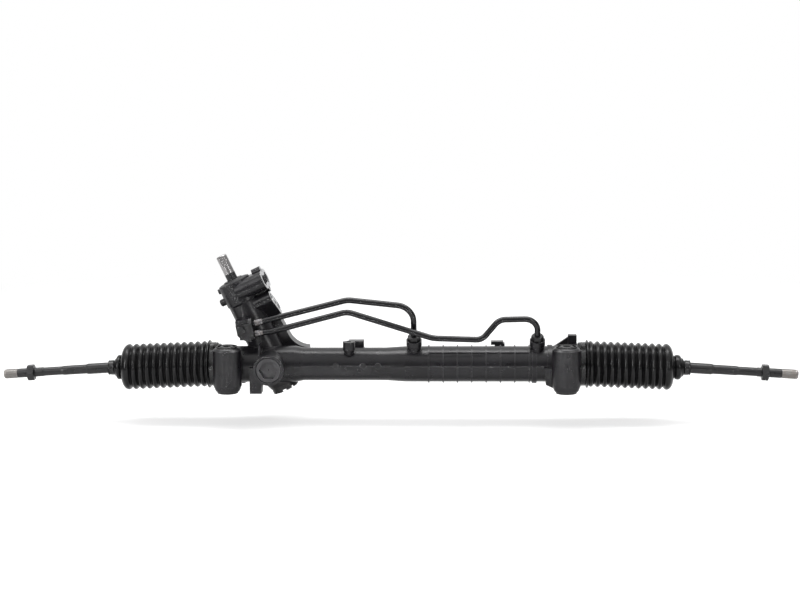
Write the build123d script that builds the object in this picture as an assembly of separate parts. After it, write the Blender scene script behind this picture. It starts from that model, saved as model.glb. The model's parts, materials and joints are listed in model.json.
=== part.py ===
from build123d import *
import os
from math import acos, atan2, cos, degrees, pi, radians, sin, sqrt, tan

# Hydraulic rack-and-pinion steering rack. Millimetres, +Z up along the mounting bolts.
# +X runs along the rack to the cylinder side and +Y points away from the mounting eyes.
# The origin is midway between the two mounting bolt axes, on the plane of the lower ends
# of the bush sleeves.

# ---------------------------------------------------------------- driving dimensions
# Mounting
BUSH_SPAN = 500.0           # between the two mounting bolt axes
BUSH_HEIGHT = 70.0          # length of the inner and outer bush sleeves
BUSH_BOLT_R = 6.1           # bore of the inner sleeve
BUSH_INNER_R = 10.0
BUSH_RUBBER_R = 14.0
BUSH_OUTER_R = 15.5
EYE_R = 21.0
EYE_RECESS = 2.0            # how far the sleeves stand out of the eye at each end
EYE_WALL = (1.0, 2.8)       # eye's wall at its ends and where its two tapers meet
EYE_SHOULDER = (4.0, 3.2)   # that step's distance from the sleeve's end, below and above
EYE_TAPER = (11.0, 6.0)     # distance from the sleeve's end at which the eye is full size
EYE_WEB = 17.0              # half the web's width, and half its height
EYE_WEB_RISE = 23.0
EYE_GUSSET = (12.0, 9.0)    # reach past the eye of the gusset, at the rack and under the tube
EYE_GUSSET_FRONT = 6.0      # its front face
EYE_TO_END = 34.5           # along the rack, from a bolt axis to the casting's open end

# Rack and its tube
RACK_Y = 40.0
RACK_Z = 35.5
RACK_R = 13.0
RACK_CLEAR = 0.5            # radial, where the rack passes through plain walls
RACK_TRAVEL = 64.0          # each way from the middle
TUBE_R = 24.5
TUBE_BORE_R = 18.0
CYLINDER_R = 26.5
CYLINDER_BORE_R = 20.0
BOOT_SEAT = 16.0            # length of the boot's seat at each end
SEAT_R = 28.5
SEAT_BEAD_R = 29.5
SEAT_BEAD = 4.0             # length of the bead at the mouth
STOP_GAP = 0.5              # left at each end of the travel, before the sockets meet the casting

# Cylinder, its ports and ribs
PORT_TO_END = (259.0, 76.5) # along the rack, from each port to the casting's right-hand end
PORT_TO_BORE = 16.0         # from the inner port to the closed end of the cylinder's bore
PORT_TO_TAPER = (43.0, 13.0)    # from the inner port to where the tube grows into the cylinder
PORT_TO_GLAND = 9.0         # from the outer port to the gland
PORT_TO_CIRCLIP = 41.0
PORT_LEAN = 20.0            # degrees that the port bosses lean towards the eyes
PORT_BOSS_R = 11.5
PORT_ROOT_R = 10.3          # port boss below its cup
PORT_REACH = 41.5           # from the rack's axis to the boss's rim
PORT_CUP_R = 9.6
PORT_CUP = 6.5
PORT_NUT = 14.0             # length of the tube nut
PORT_NUT_AF = 16.0
PORT_TO_RIB = 21.5          # from the inner port to the first rib
RIB_PITCH = 21.3
RIB_COUNT = 8
RIB_WIDTH = 1.8
RIB_R = 28.3

# Ledge along the front of the rack tube
LEDGE_START = 22.0          # from the pinion
LEDGE_RUN_OUT = 19.5        # before the taper
LEDGE_PROUD = 0.7
LEDGE_TOP = 1.6             # above the rack's axis
CYLINDER_BLEND = 17.5       # where the ledge's run-out ends, before the taper's end
LEDGE_BACK = 8.0            # in front of the rack's axis
LEDGE_DEPTH = 14.0
GATE_MARKS = (98.0, 138.0, 160.0)    # from the pinion
GATE_MARK_R = 4.6

# Boss for a line clip, on the front of the rack tube
CLIP_TO_PINION = 117.0      # along the rack
CLIP_BOSS_Y = 22.0
CLIP_BOSS_R = 9.0
CLIP_BOSS_LOW = 60.0        # height of the boss's straight part
CLIP_BOSS_TOP = 72.6
CLIP_HOLE_R = 3.4
CLIP_HOLE = 15.5            # depth

# Gear set: straight rack teeth and a helical pinion on a tilted shaft
TOOTH_MODULE = 2.0          # normal module
PRESSURE_ANGLE = 20.0
PINION_TEETH = 7
PINION_TILT = 25.0          # degrees from +Z towards -X, and the pinion's helix angle
PINION_SHIFT = 0.9          # profile shift of the pinion
PINION_TIP = 1.6            # tooth height above the shifted reference line
RACK_ADDENDUM = 1.7
RACK_DEDENDUM = 2.1
BACKLASH = 0.2
TOOTH_SINK = 6.2            # from the bar's round surface down to the rack's reference line
PINION_TO_END = 96.5        # along the rack, to the casting's left-hand end
PINION_FACE = 28.0          # face width of the pinion
RACK_TOOTH_COUNT = 25

# Pinion tower, as distances along the pinion's axis from the rack's level
TOWER_R = 23.5
TOWER_BOTTOM = -36.5
TOWER_TOP = 134.0
BARREL_R = 25.0
BARREL_BOTTOM = 103.0
VALVE_BORE_R = 17.1
VALVE_FLOOR = 40.0
FLANGE_LEVEL = 119.0
FLANGE_REACH = 45.0         # from the pinion's axis to the flange face
FLANGE_SPREAD = 28.7        # between the two round ends of the flange
FLANGE_R = 14.0
FLANGE_HOLE_OFFSET = 14.2
FLANGE_HOLE_R = 2.5
DRILLING_LEVEL = 113.0      # bosses on the far side of the barrel
DRILLING_R = 5.5
DRILLING_REACH = 32.7
LOCK_SCREW_LEVEL = 130.0
LOCK_SCREW_REACH = 27.5
FLANGE_EAR_R = 6.5
FLANGE_EAR = 14.0
SPRUE_OUT = 20.4            # ring mark on the barrel's side
SPRUE_LEVEL = 121.3
SPRUE_R = 4.4
POCKET_R = 8.5
POCKET_SLOT = 12.0
POCKET_DEPTH = 20.0
PORT_FACE = 43.0            # from the pinion's axis to the face of the hose ports
PRESSURE_LEVEL = 90.6
PRESSURE_SIDE = -9.1
PRESSURE_BOSS_R = 10.0
PRESSURE_PORT_R = 6.5
RETURN_LEVEL = 71.0
RETURN_SIDE = 10.4
RETURN_BOSS_R = 11.0
RETURN_PORT_R = 7.5
HOSE_PORT_THREAD = 10.0     # threaded depth of the hose ports
HOSE_SEAT = 8.0             # depth of the pocket below the thread, for the tapered seat
HOSE_SEAT_STEP = 1.0        # how much smaller that pocket is, radially
HOSE_BOLT_LEVEL = 80.3
HOSE_BOLT_R = 3.4

# Web from the hose ports down to the tube
WEB_SINK = 5.0              # below the top of the tube
WEB_FOOT = 53.0             # from the pinion, along the rack
WEB_SAG = (4.5, 4.0)        # how far its arc hangs below the straight line, along X and Z

# Shafts, as distances along the pinion's axis
SHAFT_R = 8.0
SHAFT_TIP = 177.8
SHAFT_FLAT = 16.0
SHAFT_FLAT_DEPTH = 1.1
SHAFT_SHOULDER = 0.5        # radial, from the stub to the journal in the bearing and seal
SHAFT_STEP = 139.5          # where the journal steps down to the stub
CAP_TOP = 138.5

# Yoke
YOKE_R = 16.0
YOKE_BOSS_R = 22.75
YOKE_RIB = 15.0             # thin rib beside the boss, from the pinion
YOKE_FACE = -12.0           # Y of the boss's rim
YOKE_PLUG_R = 19.0
YOKE_HEX = 24.0
YOKE_PLUG_DEPTH = 14.0
YOKE_PLAY = 0.3             # between the yoke's back and its plug
SPRING_POCKET_R = 9.0
SPRING_POCKET = 4.0         # depth, in the yoke and in the plug
SPRING_HOLE_R = 4.0
SPRING_SHEET = 1.4
SPRING_DISCS = 3

# Tie rods
BALL_TO_END = 56.0          # from the casting's open end to the ball's centre
BALL_R = 12.5
ROD_LENGTH = 253.5          # from the ball's centre to the tip
ROD_DROOP = 3.6
ROD_BOOT_R = 8.0
ROD_FLAT_R = 7.0
ROD_SHANK_R = 6.4
ROD_THREAD_R = 6.9
ROD_BARE = (20.5, 24.0)     # bare thread outside the relief groove, left and right
ROD_RELIEF = 1.2            # width of that groove
JAM_NUT_AF = 22.0
JAM_NUT_TIP = (41.0, 48.5)  # from the tip to the nut's middle, left and right
SOCKET_WALL = 6.5
SOCKET_ROOM = 2.0           # radial, round the socket in the casting's mouth
SOCKET_INNER = 20.0         # from the ball's centre to the socket's inner face
SOCKET_OUTER = 9.0

# Boots
BOOT_CUFF = 12.0            # length of the cuff on its seat
BOOT_CREST_R = 34.3
BOOT_ROOT_R = 30.0
BOOT_WALL = 2.2
BOOT_PITCH = 10.15
BOOT_CRESTS = 12
BOOT_TO_CREST = 4.3         # from the casting's open end to the first crest
BOOT_DOME = 12.0            # from the last crest to the small fold
BOOT_SMALL_R = 18.6
BOOT_SMALL = 10.5           # length of that fold
BOOT_NECK_R = 10.2
BOOT_NECK = 11.0
BOOT_REACH = 94.0           # from the ball's centre to the boot's outer end

# Fluid pipes
PIPE_R = 4.4
PIPE_WALL = 1.2
PIPE_END = 30.0             # from the rack's axis to the pipe's end in the boss

# Corners of the pipes' routes: X from the bracket at the tower, from the inner port or
# from the outer port, then Y and Z
SHORT_START = (-7.5, 24.0, 96.6)
SHORT_TOP = (144.9, 23.0, 135.0)
SHORT_DROP = 97.6           # from the rack's axis to the corner over the inner port
SHORT_BENDS = (35, 24)
LONG_START = (-7.5, 22.5, 83.0)
LONG_FOOT = (30.4, 21.0, 87.8)
LONG_TOP = (144.9, 14.0, 118.9)
LONG_VALLEY = (28.5, 5.5, 80.7)
LONG_RISE = (-82.0, 5.5, 78.4)
LONG_CREST = (-56.5, 13.5, 106.9)
LONG_DROP = 77.4            # from the rack's axis to the corner over the outer port
LONG_BENDS = (25, 30, 50, 18, 20, 19)

# Bracket that holds the pipes' ends against the tower's pad
BRACKET_TO_PINION = 29.4    # along the rack
BRACKET_Y = 21.2
BRACKET_Z = 91.2
BRACKET_TILT = 10.0
BRACKET_PLATE = 5.0
BRACKET_TAB = 3.0
BRACKET_R = 10.4
BRACKET_SPREAD = 14.6
PAD = (-8.0, 30.0)          # across the rack, from the bracket's middle
PAD_DEPTH = 19.0
PAD_NOSE = 7.0              # the pad's full height, behind the bracket's plate
PAD_SLANT = 10.0            # rise of its slanted underside
BRACKET_BOLT = 3.0          # the bolt's height over the bracket's middle
BRACKET_BOLT_R = 3.0

# Bearings and seals in the tower
BALL_BEARING_R = 14.0
END_CAP_R = 20.0
BALL_BEARING_BORE_R = 6.0
MESH_BORE_R = 12.0
MESH_BELOW = 6.3            # from the bar's round surface to the ball bearing's face
MESH_ABOVE = 7.6            # and to the needle bearing's
BALL_BEARING = 7.0          # width
NEEDLE_BEARING = 10.0
NEEDLE_BEARING_R = 16.0
JOURNAL_R = 10.0            # pinion's journal in the needle bearing
PINION_NECK_R = 8.0         # between the teeth and the journal, clear of the rack
SHAFT_BEARING_R = 18.0
SHAFT_BEARING_LEVEL = 122.0

# Rotary valve
SLEEVE_START = 46.0
SLEEVE_END = 110.0
SLEEVE_R = 16.9
SPOOL_R = 10.95             # input shaft inside the sleeve
PILOT_R = 7.0               # input shaft's foot inside the pinion
TORSION_BAR_R = 3.5
TORSION_BAR_WAIST_R = 2.2
TORSION_PIN_R = 1.5
TORSION_PIN_LEVEL = 169.3
SLEEVE_RINGS = (58.0, 68.0, 80.0, 94.0)

# Rack, piston and ball joints
STUD = 22.0
STUD_R = 8.0
LINER = 2.0                 # thickness round the ball
BOOT_CUFF_R = 32.0

# Right-hand end gland
SEAL_DEPTH = 4.0            # radial, between the rack and the outside of the outer seal
RACK_BUSH_WALL = 2.5
CIRCLIP_WIDTH = 2.0

# Fits
RUNNING = 0.05              # radial, between pieces that slide or turn
SEATED = 0.02               # radial, between pieces that stay put
APART = 0.3                 # between soft or unlike pieces

# ---------------------------------------------------------------- derived sizes
HELIX = radians(PINION_TILT)
PITCH_R = TOOTH_MODULE * PINION_TEETH / 2 / cos(HELIX)
TRANSVERSE_ANGLE = atan2(tan(radians(PRESSURE_ANGLE)), cos(HELIX))
BASE_R = PITCH_R * cos(TRANSVERSE_ANGLE)
PINION_TIP_R = PITCH_R + PINION_SHIFT + PINION_TIP
PINION_ROOT_R = PITCH_R + PINION_SHIFT - RACK_ADDENDUM - 0.5
RACK_PITCH_LINE = RACK_R - TOOTH_SINK
MESH_FLOOR = -(RACK_R + MESH_BELOW)
MESH_TOP = RACK_R + MESH_ABOVE
PINION_Y = RACK_Y + RACK_PITCH_LINE + PITCH_R + PINION_SHIFT
TOOTH_PITCH = pi * TOOTH_MODULE

HOUSING_HALF = BUSH_SPAN / 2 + EYE_TO_END
PINION_X = PINION_TO_END - HOUSING_HALF
PORT_X = (HOUSING_HALF - PORT_TO_END[0], HOUSING_HALF - PORT_TO_END[1])
CYLINDER_START = PORT_X[0] - PORT_TO_BORE
TAPER = (PORT_X[0] - PORT_TO_TAPER[0], PORT_X[0] - PORT_TO_TAPER[1])
RIB_FIRST = PORT_X[0] + PORT_TO_RIB
PISTON_X = (PORT_X[0] + PORT_X[1]) / 2
GLAND_START = PORT_X[1] + PORT_TO_GLAND
CIRCLIP_X = PORT_X[1] + PORT_TO_CIRCLIP
CLIP_BOSS = (PINION_X + CLIP_TO_PINION, CLIP_BOSS_Y)
BRACKET_X = PINION_X - BRACKET_TO_PINION
BALL_X = HOUSING_HALF + BALL_TO_END
SHAFT_JOURNAL_R = SHAFT_R + SHAFT_SHOULDER
LINER_R = BALL_R + LINER
LINER_FLOOR = -LINER_R
SOCKET_R = LINER_R + SOCKET_WALL
SOCKET_BORE_R = SOCKET_R + SOCKET_ROOM
SEAL_R = RACK_R + SEAL_DEPTH
RACK_BUSH_R = RACK_R + RACK_BUSH_WALL
PIPE_BORE_R = PIPE_R - PIPE_WALL
PIPE_HOLE_R = PIPE_R + 2 * RUNNING
LEAN = radians(PORT_LEAN)
BOOT_START = HOUSING_HALF - BOOT_SEAT + APART
BOOT_FIRST_CREST = HOUSING_HALF + BOOT_TO_CREST
BOOT_END = BALL_X + BOOT_REACH
STOP_X = BALL_X - SOCKET_INNER - RACK_TRAVEL - STOP_GAP


def over_port(x, reach):
    """Point on a cylinder port's axis, at a distance from the rack's axis."""
    return (x, RACK_Y - reach * sin(LEAN), RACK_Z + reach * cos(LEAN))


def beside(x, corner):
    """Point of a route given from a place along the rack."""
    return (x + corner[0], corner[1], corner[2])


SHORT_ROUTE = (
    beside(BRACKET_X, SHORT_START),
    beside(BRACKET_X, SHORT_TOP),
    over_port(PORT_X[0], SHORT_DROP),
    over_port(PORT_X[0], PIPE_END),
)
LONG_ROUTE = (
    beside(BRACKET_X, LONG_START),
    beside(BRACKET_X, LONG_FOOT),
    beside(BRACKET_X, LONG_TOP),
    beside(PORT_X[0], LONG_VALLEY),
    beside(PORT_X[1], LONG_RISE),
    beside(PORT_X[1], LONG_CREST),
    over_port(PORT_X[1], LONG_DROP),
    over_port(PORT_X[1], PIPE_END),
)

RACK_AXIS = Location((0, RACK_Y, RACK_Z))
TOWER = Plane(
    origin=(PINION_X, PINION_Y, RACK_Z),
    x_dir=(cos(HELIX), 0, sin(HELIX)),
    z_dir=(-sin(HELIX), 0, cos(HELIX)),
)
YOKE_AXIS = Plane(origin=(PINION_X, RACK_Y, RACK_Z), x_dir=(1, 0, 0), z_dir=(0, -1, 0))
SIDES = (("left", -1), ("right", 1))


BRACKET = Plane(
    origin=(BRACKET_X, BRACKET_Y, BRACKET_Z),
    x_dir=(0, 1, 0),
    z_dir=(cos(radians(BRACKET_TILT)), 0, sin(radians(BRACKET_TILT))),
)


def along_rack(side=1):
    """Frame with +Z along the rack's axis, out of the housing on the given side."""
    return Plane(origin=(0, RACK_Y, RACK_Z), x_dir=(0, side, 0), z_dir=(side, 0, 0))


def port_axis(x):
    """Frame of a cylinder port: on the rack's axis, +Z out through the boss."""
    return Plane(origin=(x, RACK_Y, RACK_Z), x_dir=(1, 0, 0), z_dir=(0, -sin(LEAN), cos(LEAN)))


def rod_axis(side):
    """Frame of a tie rod: on the ball's centre, +Z out along the drooping rod."""
    droop = radians(ROD_DROOP)
    return Plane(
        origin=(side * BALL_X, RACK_Y, RACK_Z),
        x_dir=(0, side, 0),
        z_dir=(side * cos(droop), 0, -sin(droop)),
    )


def boot_axis(side):
    """Frame of a boot: straight from the cuff's middle to the neck on the drooping rod."""
    cuff = BOOT_START + BOOT_CUFF / 2
    neck = BOOT_END - BOOT_NECK / 2
    drop = (neck - BALL_X) * tan(radians(ROD_DROOP))
    slope = drop / (neck - cuff)
    origin = (side * BOOT_START, RACK_Y, RACK_Z + slope * BOOT_CUFF / 2)
    return Plane(origin=origin, x_dir=(0, side, 0), z_dir=(side, 0, -slope))


# ---------------------------------------------------------------- helpers
def spun(*profile):
    """Solid of revolution about Z from (radius, height) corners."""
    outline = make_face(Plane.XZ * Polyline(*profile, close=True))
    return revolve(outline, Axis.Z)


def post(radius, start, end):
    """Solid cylinder along Z between two heights."""
    return Pos(0, 0, start) * extrude(Circle(radius), end - start)


def pipe(outer, inner, start, end):
    """Tube along Z between two heights."""
    return Pos(0, 0, start) * extrude(Circle(outer) - Circle(inner), end - start)


def box(x, y, z):
    """Box between pairs of coordinates."""
    centre = ((x[0] + x[1]) / 2, (y[0] + y[1]) / 2, (z[0] + z[1]) / 2)
    return Pos(*centre) * Box(x[1] - x[0], y[1] - y[0], z[1] - z[0])


def hexagon(across_flats, start, end):
    """Hexagonal prism along Z with the corners of both faces turned off."""
    corner = across_flats / sqrt(3)
    prism = Pos(0, 0, start) * extrude(RegularPolygon(corner, 6), end - start)
    edge = corner - across_flats / 2
    turning = spun(
        (0, start),
        (corner - edge, start),
        (corner, start + edge / 2),
        (corner, end - edge / 2),
        (corner - edge, end),
        (0, end),
    )
    return prism & turning


def write(name, shape):
    """One STEP file for the node."""
    export_step(shape, f"parts/{name}.step")


# ---------------------------------------------------------------- casting: outer form
def tube_body():
    """Outside of the rack tube, the taper and the cylinder, turned about the rack's axis."""
    seat = HOUSING_HALF - BOOT_SEAT
    half = (
        (SEAT_BEAD_R, HOUSING_HALF),
        (SEAT_BEAD_R, HOUSING_HALF - SEAT_BEAD),
        (SEAT_R, HOUSING_HALF - SEAT_BEAD - 0.5),
        (SEAT_R, seat),
        (SEAT_BEAD_R + 1, seat),
        (SEAT_BEAD_R + 1, seat - 3),
        (TUBE_R + 2.5, seat - 7),
    )
    left = [(r, -z) for r, z in half]
    neck = [
        (TUBE_R + 2.5, PINION_X + 36),
        (TUBE_R, PINION_X + 48),
        (TUBE_R, TAPER[0]),
        (CYLINDER_R, TAPER[1]),
        (CYLINDER_R, PORT_X[1] + 16),
        (CYLINDER_R + 1.2, PORT_X[1] + 30),
        (CYLINDER_R + 1.2, seat - 8),
    ]
    right = list(reversed(half[:-1]))
    profile = [(0, -HOUSING_HALF), *left, *neck, *right, (0, HOUSING_HALF)]
    return along_rack() * spun(*profile)


def mounting_eye(side):
    """Round eye for one bush, tapered at both ends and webbed back to the tube."""
    x = side * BUSH_SPAN / 2
    top = BUSH_HEIGHT - EYE_RECESS
    eye = spun(
        (0, EYE_RECESS),
        (BUSH_OUTER_R + EYE_WALL[0], EYE_RECESS),
        (BUSH_OUTER_R + EYE_WALL[1], EYE_SHOULDER[0]),
        (EYE_R, EYE_TAPER[0]),
        (EYE_R, BUSH_HEIGHT - EYE_TAPER[1]),
        (BUSH_OUTER_R + EYE_WALL[1], BUSH_HEIGHT - EYE_SHOULDER[1]),
        (BUSH_OUTER_R + EYE_WALL[0], top),
        (0, top),
    )
    rise = (RACK_Z - EYE_WEB_RISE, RACK_Z + EYE_WEB_RISE)
    web = box((x - EYE_WEB, x + EYE_WEB), (0, RACK_Y), rise)
    foot = x - side * (EYE_R - 1)
    outline = Polyline(
        (x, RACK_Z),
        (x - side * (EYE_R + EYE_GUSSET[0]), RACK_Z),
        (x - side * (EYE_R + EYE_GUSSET[1]), RACK_Z - TUBE_R - 0.5),
        (foot, EYE_TAPER[0] - 5),
        (x, EYE_TAPER[0] - 5),
        close=True,
    )
    gusset = Pos(0, RACK_Y, 0) * extrude(make_face(Plane.XZ * outline), RACK_Y - EYE_GUSSET_FRONT)
    return Pos(x, 0, 0) * eye + web + gusset


def cylinder_ribs():
    """Thin rings round the cylinder, the ribs along it and the mould's parting ridge."""
    rings = Part()
    for i in range(RIB_COUNT):
        start = RIB_FIRST + i * RIB_PITCH - RIB_WIDTH / 2
        rings += along_rack() * post(RIB_R, start, start + RIB_WIDTH)
    for x in (PORT_X[1] - 8, PORT_X[1] + 15):
        rings += along_rack() * post(RIB_R + 0.4, x, x + 7)
    last = RIB_FIRST + (RIB_COUNT - 1) * RIB_PITCH
    top_rib = box((RIB_FIRST, last), (-RIB_R, -CYLINDER_R + 3), (-0.9, 0.9))
    rings += RACK_AXIS * Rot(X=-50) * top_rib
    ridge_y = (RACK_Y - CYLINDER_R - 0.8, RACK_Y)
    ridge_top = RACK_Z + LEDGE_TOP
    rings += box((TAPER[1], PORT_X[1] + 30), ridge_y, (ridge_top - 1.4, ridge_top))
    return rings


def tube_ledge():
    """Flat ledge along the front of the rack tube, run out into the cylinder, with gate marks."""
    start = PINION_X + LEDGE_START
    end = TAPER[0] - LEDGE_RUN_OUT
    front = RACK_Y - TUBE_R - LEDGE_PROUD
    back = RACK_Y - LEDGE_BACK
    top = RACK_Z + LEDGE_TOP
    ledge = box((start, end), (front, back), (top - LEDGE_DEPTH, top))
    deep = Plane.YZ * Pos((front + back) / 2, top - LEDGE_DEPTH / 2)
    square = deep * Rectangle(back - front, LEDGE_DEPTH)
    low = LEDGE_DEPTH + 5
    sunk = Plane.YZ * Pos(back - 5, top - low / 2) * Rectangle(10, low)
    last = TAPER[1] - CYLINDER_BLEND
    run_out = loft([Pos(end, 0, 0) * square, Pos(last, 0, 0) * sunk], ruled=True)
    ridge = box((end, TAPER[1]), (front, RACK_Y), (top - 1.4, top))
    ledge += run_out
    ledge += ridge
    for step in GATE_MARKS:
        mark = Pos(PINION_X + step, front, top) * Rot(X=90) * Cylinder(GATE_MARK_R, 2.4)
        ledge += mark
    return ledge


def tower_body():
    """Pinion tower, valve barrel, flange and hose-port block, in the tower's frame."""
    body = post(TOWER_R, -30, BARREL_BOTTOM + 4)
    body += spun((0, TOWER_BOTTOM), (21, TOWER_BOTTOM), (TOWER_R, -30), (0, -30))
    body += spun(
        (0, BARREL_BOTTOM - 3),
        (TOWER_R, BARREL_BOTTOM - 3),
        (BARREL_R, BARREL_BOTTOM),
        (BARREL_R, TOWER_TOP),
        (0, TOWER_TOP),
    )
    body += flange_barrel()
    body += hose_port_block()
    body += back_bosses()
    return TOWER * body


def back_bosses():
    """Plugged drilling and screw boss on the barrel's side away from the flange."""
    drilling = Plane(origin=(0, 0, DRILLING_LEVEL), x_dir=(0, 1, 0), z_dir=(-1, 0, 0))
    plug = drilling * spun(
        (0, 15),
        (DRILLING_R, 15),
        (DRILLING_R, DRILLING_REACH - 1.7),
        (DRILLING_R - 1, DRILLING_REACH - 0.6),
        (DRILLING_R - 2.5, DRILLING_REACH),
        (0, DRILLING_REACH),
    )
    screw = Plane(origin=(0, 0, LOCK_SCREW_LEVEL), x_dir=(0, 1, 0), z_dir=(-1, 0, 0))
    boss = screw * post(4, 18, LOCK_SCREW_REACH)
    return plug + boss


def facing_flange(shape, start, end):
    """Sketch drawn as (across, along the pinion) extruded out from the pinion's axis."""
    face = Plane(origin=(start, 0, 0), x_dir=(0, 1, 0), z_dir=(1, 0, 0))
    return face * extrude(shape, end - start)


def flange_barrel():
    """Oblong barrel that carries the flange, with two bolt ears and a sprue mark."""
    oblong = Pos(0, FLANGE_LEVEL) * SlotCenterToCenter(FLANGE_SPREAD, 2 * FLANGE_R)
    barrel = facing_flange(oblong, 0, FLANGE_REACH)
    ears = Sketch()
    for step in (-FLANGE_HOLE_OFFSET, FLANGE_HOLE_OFFSET):
        ears += Pos(0, FLANGE_LEVEL + step) * Circle(FLANGE_EAR_R)
    barrel += facing_flange(ears, FLANGE_REACH - FLANGE_EAR, FLANGE_REACH)
    side = FLANGE_SPREAD / 2 + FLANGE_R
    mark = Pos(SPRUE_OUT, -side, SPRUE_LEVEL) * Rot(X=90)
    web = box((TOWER_R - 3, FLANGE_REACH - 7), (-6, 6), (PRESSURE_LEVEL, FLANGE_LEVEL - 9))
    return barrel + web - mark * pipe(SPRUE_R, SPRUE_R - 1.9, -1, 1)


def hose_port_block():
    """Two round hose-port bosses run together into one face below the flange."""
    pressure = Pos(PRESSURE_SIDE, PRESSURE_LEVEL) * Circle(PRESSURE_BOSS_R)
    returned = Pos(RETURN_SIDE, RETURN_LEVEL) * Circle(RETURN_BOSS_R)
    face = make_hull((pressure + returned).edges())
    return facing_flange(face, 0, PORT_FACE)


def tower_web():
    """Web that carries the port block down to the tube, with a concave outer edge."""
    top = TOWER.from_local_coords(Vector(PORT_FACE - 7, 0, RETURN_LEVEL - RETURN_BOSS_R + 2))
    low = TOWER.from_local_coords(Vector(PORT_FACE - 6, 0, 30))
    foot = Vector(PINION_X + WEB_FOOT, 0, RACK_Z + TUBE_R - WEB_SINK)
    outline = Polyline(
        (foot.X, foot.Z), (foot.X, RACK_Z), (PINION_X, RACK_Z), (PINION_X - 20, RACK_Z + 70)
    )
    outline += Line((PINION_X - 20, RACK_Z + 70), (top.X, top.Z))
    outline += Line((top.X, top.Z), (low.X, low.Z))
    middle = ((low.X + foot.X) / 2 - WEB_SAG[0], (low.Z + foot.Z) / 2 - WEB_SAG[1])
    outline += ThreePointArc((low.X, low.Z), middle, (foot.X, foot.Z))
    face = make_face(Plane.XZ * outline)
    return Pos(0, PINION_Y + 13, 0) * extrude(face, 26)


def yoke_boss():
    """Round boss for the yoke, with a thin rib up the tower."""
    boss = YOKE_AXIS * post(YOKE_BOSS_R, 0, RACK_Y - YOKE_FACE)
    x = PINION_X - YOKE_RIB
    rib = box((x - 1.2, x + 1.2), (4, RACK_Y), (RACK_Z + 16, RACK_Z + 34))
    return boss + rib


def pipe_boss():
    """Cast pad on the front of the tower that the two pipes plug into."""
    half = BRACKET_SPREAD / 2 + BRACKET_R - 1
    section = Polyline(
        (-half, 0),
        (-half, -PAD_NOSE),
        (PAD_SLANT - half, -PAD_DEPTH),
        (half, -PAD_DEPTH),
        (half, 0),
        close=True,
    )
    pad = Pos(PAD[0], 0, 0) * extrude(make_face(Plane.YZ * section), PAD[1] - PAD[0])
    return BRACKET * pad


def clip_boss():
    """Round boss for a line clip, standing off the front of the tube on a short root."""
    return Pos(*CLIP_BOSS) * spun(
        (0, CLIP_BOSS_LOW - 9),
        (CLIP_BOSS_R / 2, CLIP_BOSS_LOW - 7),
        (CLIP_BOSS_R - 2, CLIP_BOSS_LOW - 3),
        (CLIP_BOSS_R, CLIP_BOSS_LOW),
        (CLIP_BOSS_R, CLIP_BOSS_TOP),
        (0, CLIP_BOSS_TOP),
    )


def fixing_block():
    """Square block behind the clip's boss."""
    x = CLIP_BOSS[0] - 3
    return box((x, x + 23), (RACK_Y + 12, RACK_Y + 28), (RACK_Z, RACK_Z + 32))


def hook_lug():
    """Lug on the back of the cylinder, undercut on one side."""
    x = PORT_X[1] - 68.5
    y = (RACK_Y + 14, RACK_Y + 26)
    stem = box((x + 5.5, x + 20.5), y, (RACK_Z, RACK_Z + 28))
    return stem + box((x, x + 18.5), y, (RACK_Z + 26, RACK_Z + 31))


def square_lug():
    """Square lug under the tube, between the left eye and the yoke's boss."""
    return box((PINION_X - 30.5, PINION_X - 13), (7, 30), (-3.5, RACK_Z))


def tower_tip():
    """Small square lug on the side of the tower."""
    return Pos(PINION_X - 44, PINION_Y - 4, RACK_Z + 41.5) * Box(9, 12, 14)


def locating_post():
    """Tall post behind the right eye, with a gusset down to the cylinder."""
    x = BUSH_SPAN / 2 + 4
    tall = box((x, x + 13), (RACK_Y + 8, RACK_Y + 20), (RACK_Z, RACK_Z + 41.5))
    low = RACK_Z + 18
    slope = Polyline((x - 30, low), (x + 1, low), (x + 1, RACK_Z + 39), close=True)
    gusset = extrude(make_face(Plane.XZ * slope), 6)
    return tall + Pos(0, RACK_Y + 17, 0) * gusset


def lugs():
    """Locating lugs, bosses and posts cast on the housing."""
    low = fixing_block() + hook_lug() + square_lug()
    return clip_boss() + low + tower_tip() + locating_post()


def bracket_bolt_axis():
    """Frame of the bracket's bolt: on the outside of the tab, +Z towards its head."""
    seat = BRACKET.from_local_coords(Vector(PAD[0] - BRACKET_TAB, BRACKET_BOLT, -12))
    return Plane(origin=seat, x_dir=(1, 0, 0), z_dir=(0, -1, 0))


def cylinder_ports():
    """Two bosses on the cylinder for the pipes' nuts."""
    bosses = Part()
    for x in PORT_X:
        bosses += port_axis(x) * spun(
            (0, 0),
            (PORT_ROOT_R, 0),
            (PORT_ROOT_R, PORT_REACH - PORT_CUP - 3.5),
            (PORT_BOSS_R, PORT_REACH - PORT_CUP - 2),
            (PORT_BOSS_R, PORT_REACH),
            (0, PORT_REACH),
        )
    return bosses


# ---------------------------------------------------------------- casting: bores
def rack_bores():
    """Bore for the rack and the cylinder, open at both ends."""
    plain = RACK_R + RACK_CLEAR
    profile = (
        (0, -HOUSING_HALF - 1),
        (SOCKET_BORE_R, -HOUSING_HALF - 1),
        (SOCKET_BORE_R, -STOP_X),
        (TUBE_BORE_R, -STOP_X),
        (TUBE_BORE_R, CYLINDER_START - 12),
        (plain, CYLINDER_START - 10),
        (plain, CYLINDER_START),
        (CYLINDER_BORE_R, CYLINDER_START),
        (CYLINDER_BORE_R, STOP_X),
        (SOCKET_BORE_R, STOP_X),
        (SOCKET_BORE_R, HOUSING_HALF + 1),
        (0, HOUSING_HALF + 1),
    )
    bore = along_rack() * spun(*profile)
    groove = along_rack() * post(CYLINDER_BORE_R + 1, CIRCLIP_X, CIRCLIP_X + CIRCLIP_WIDTH)
    return bore + groove


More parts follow.
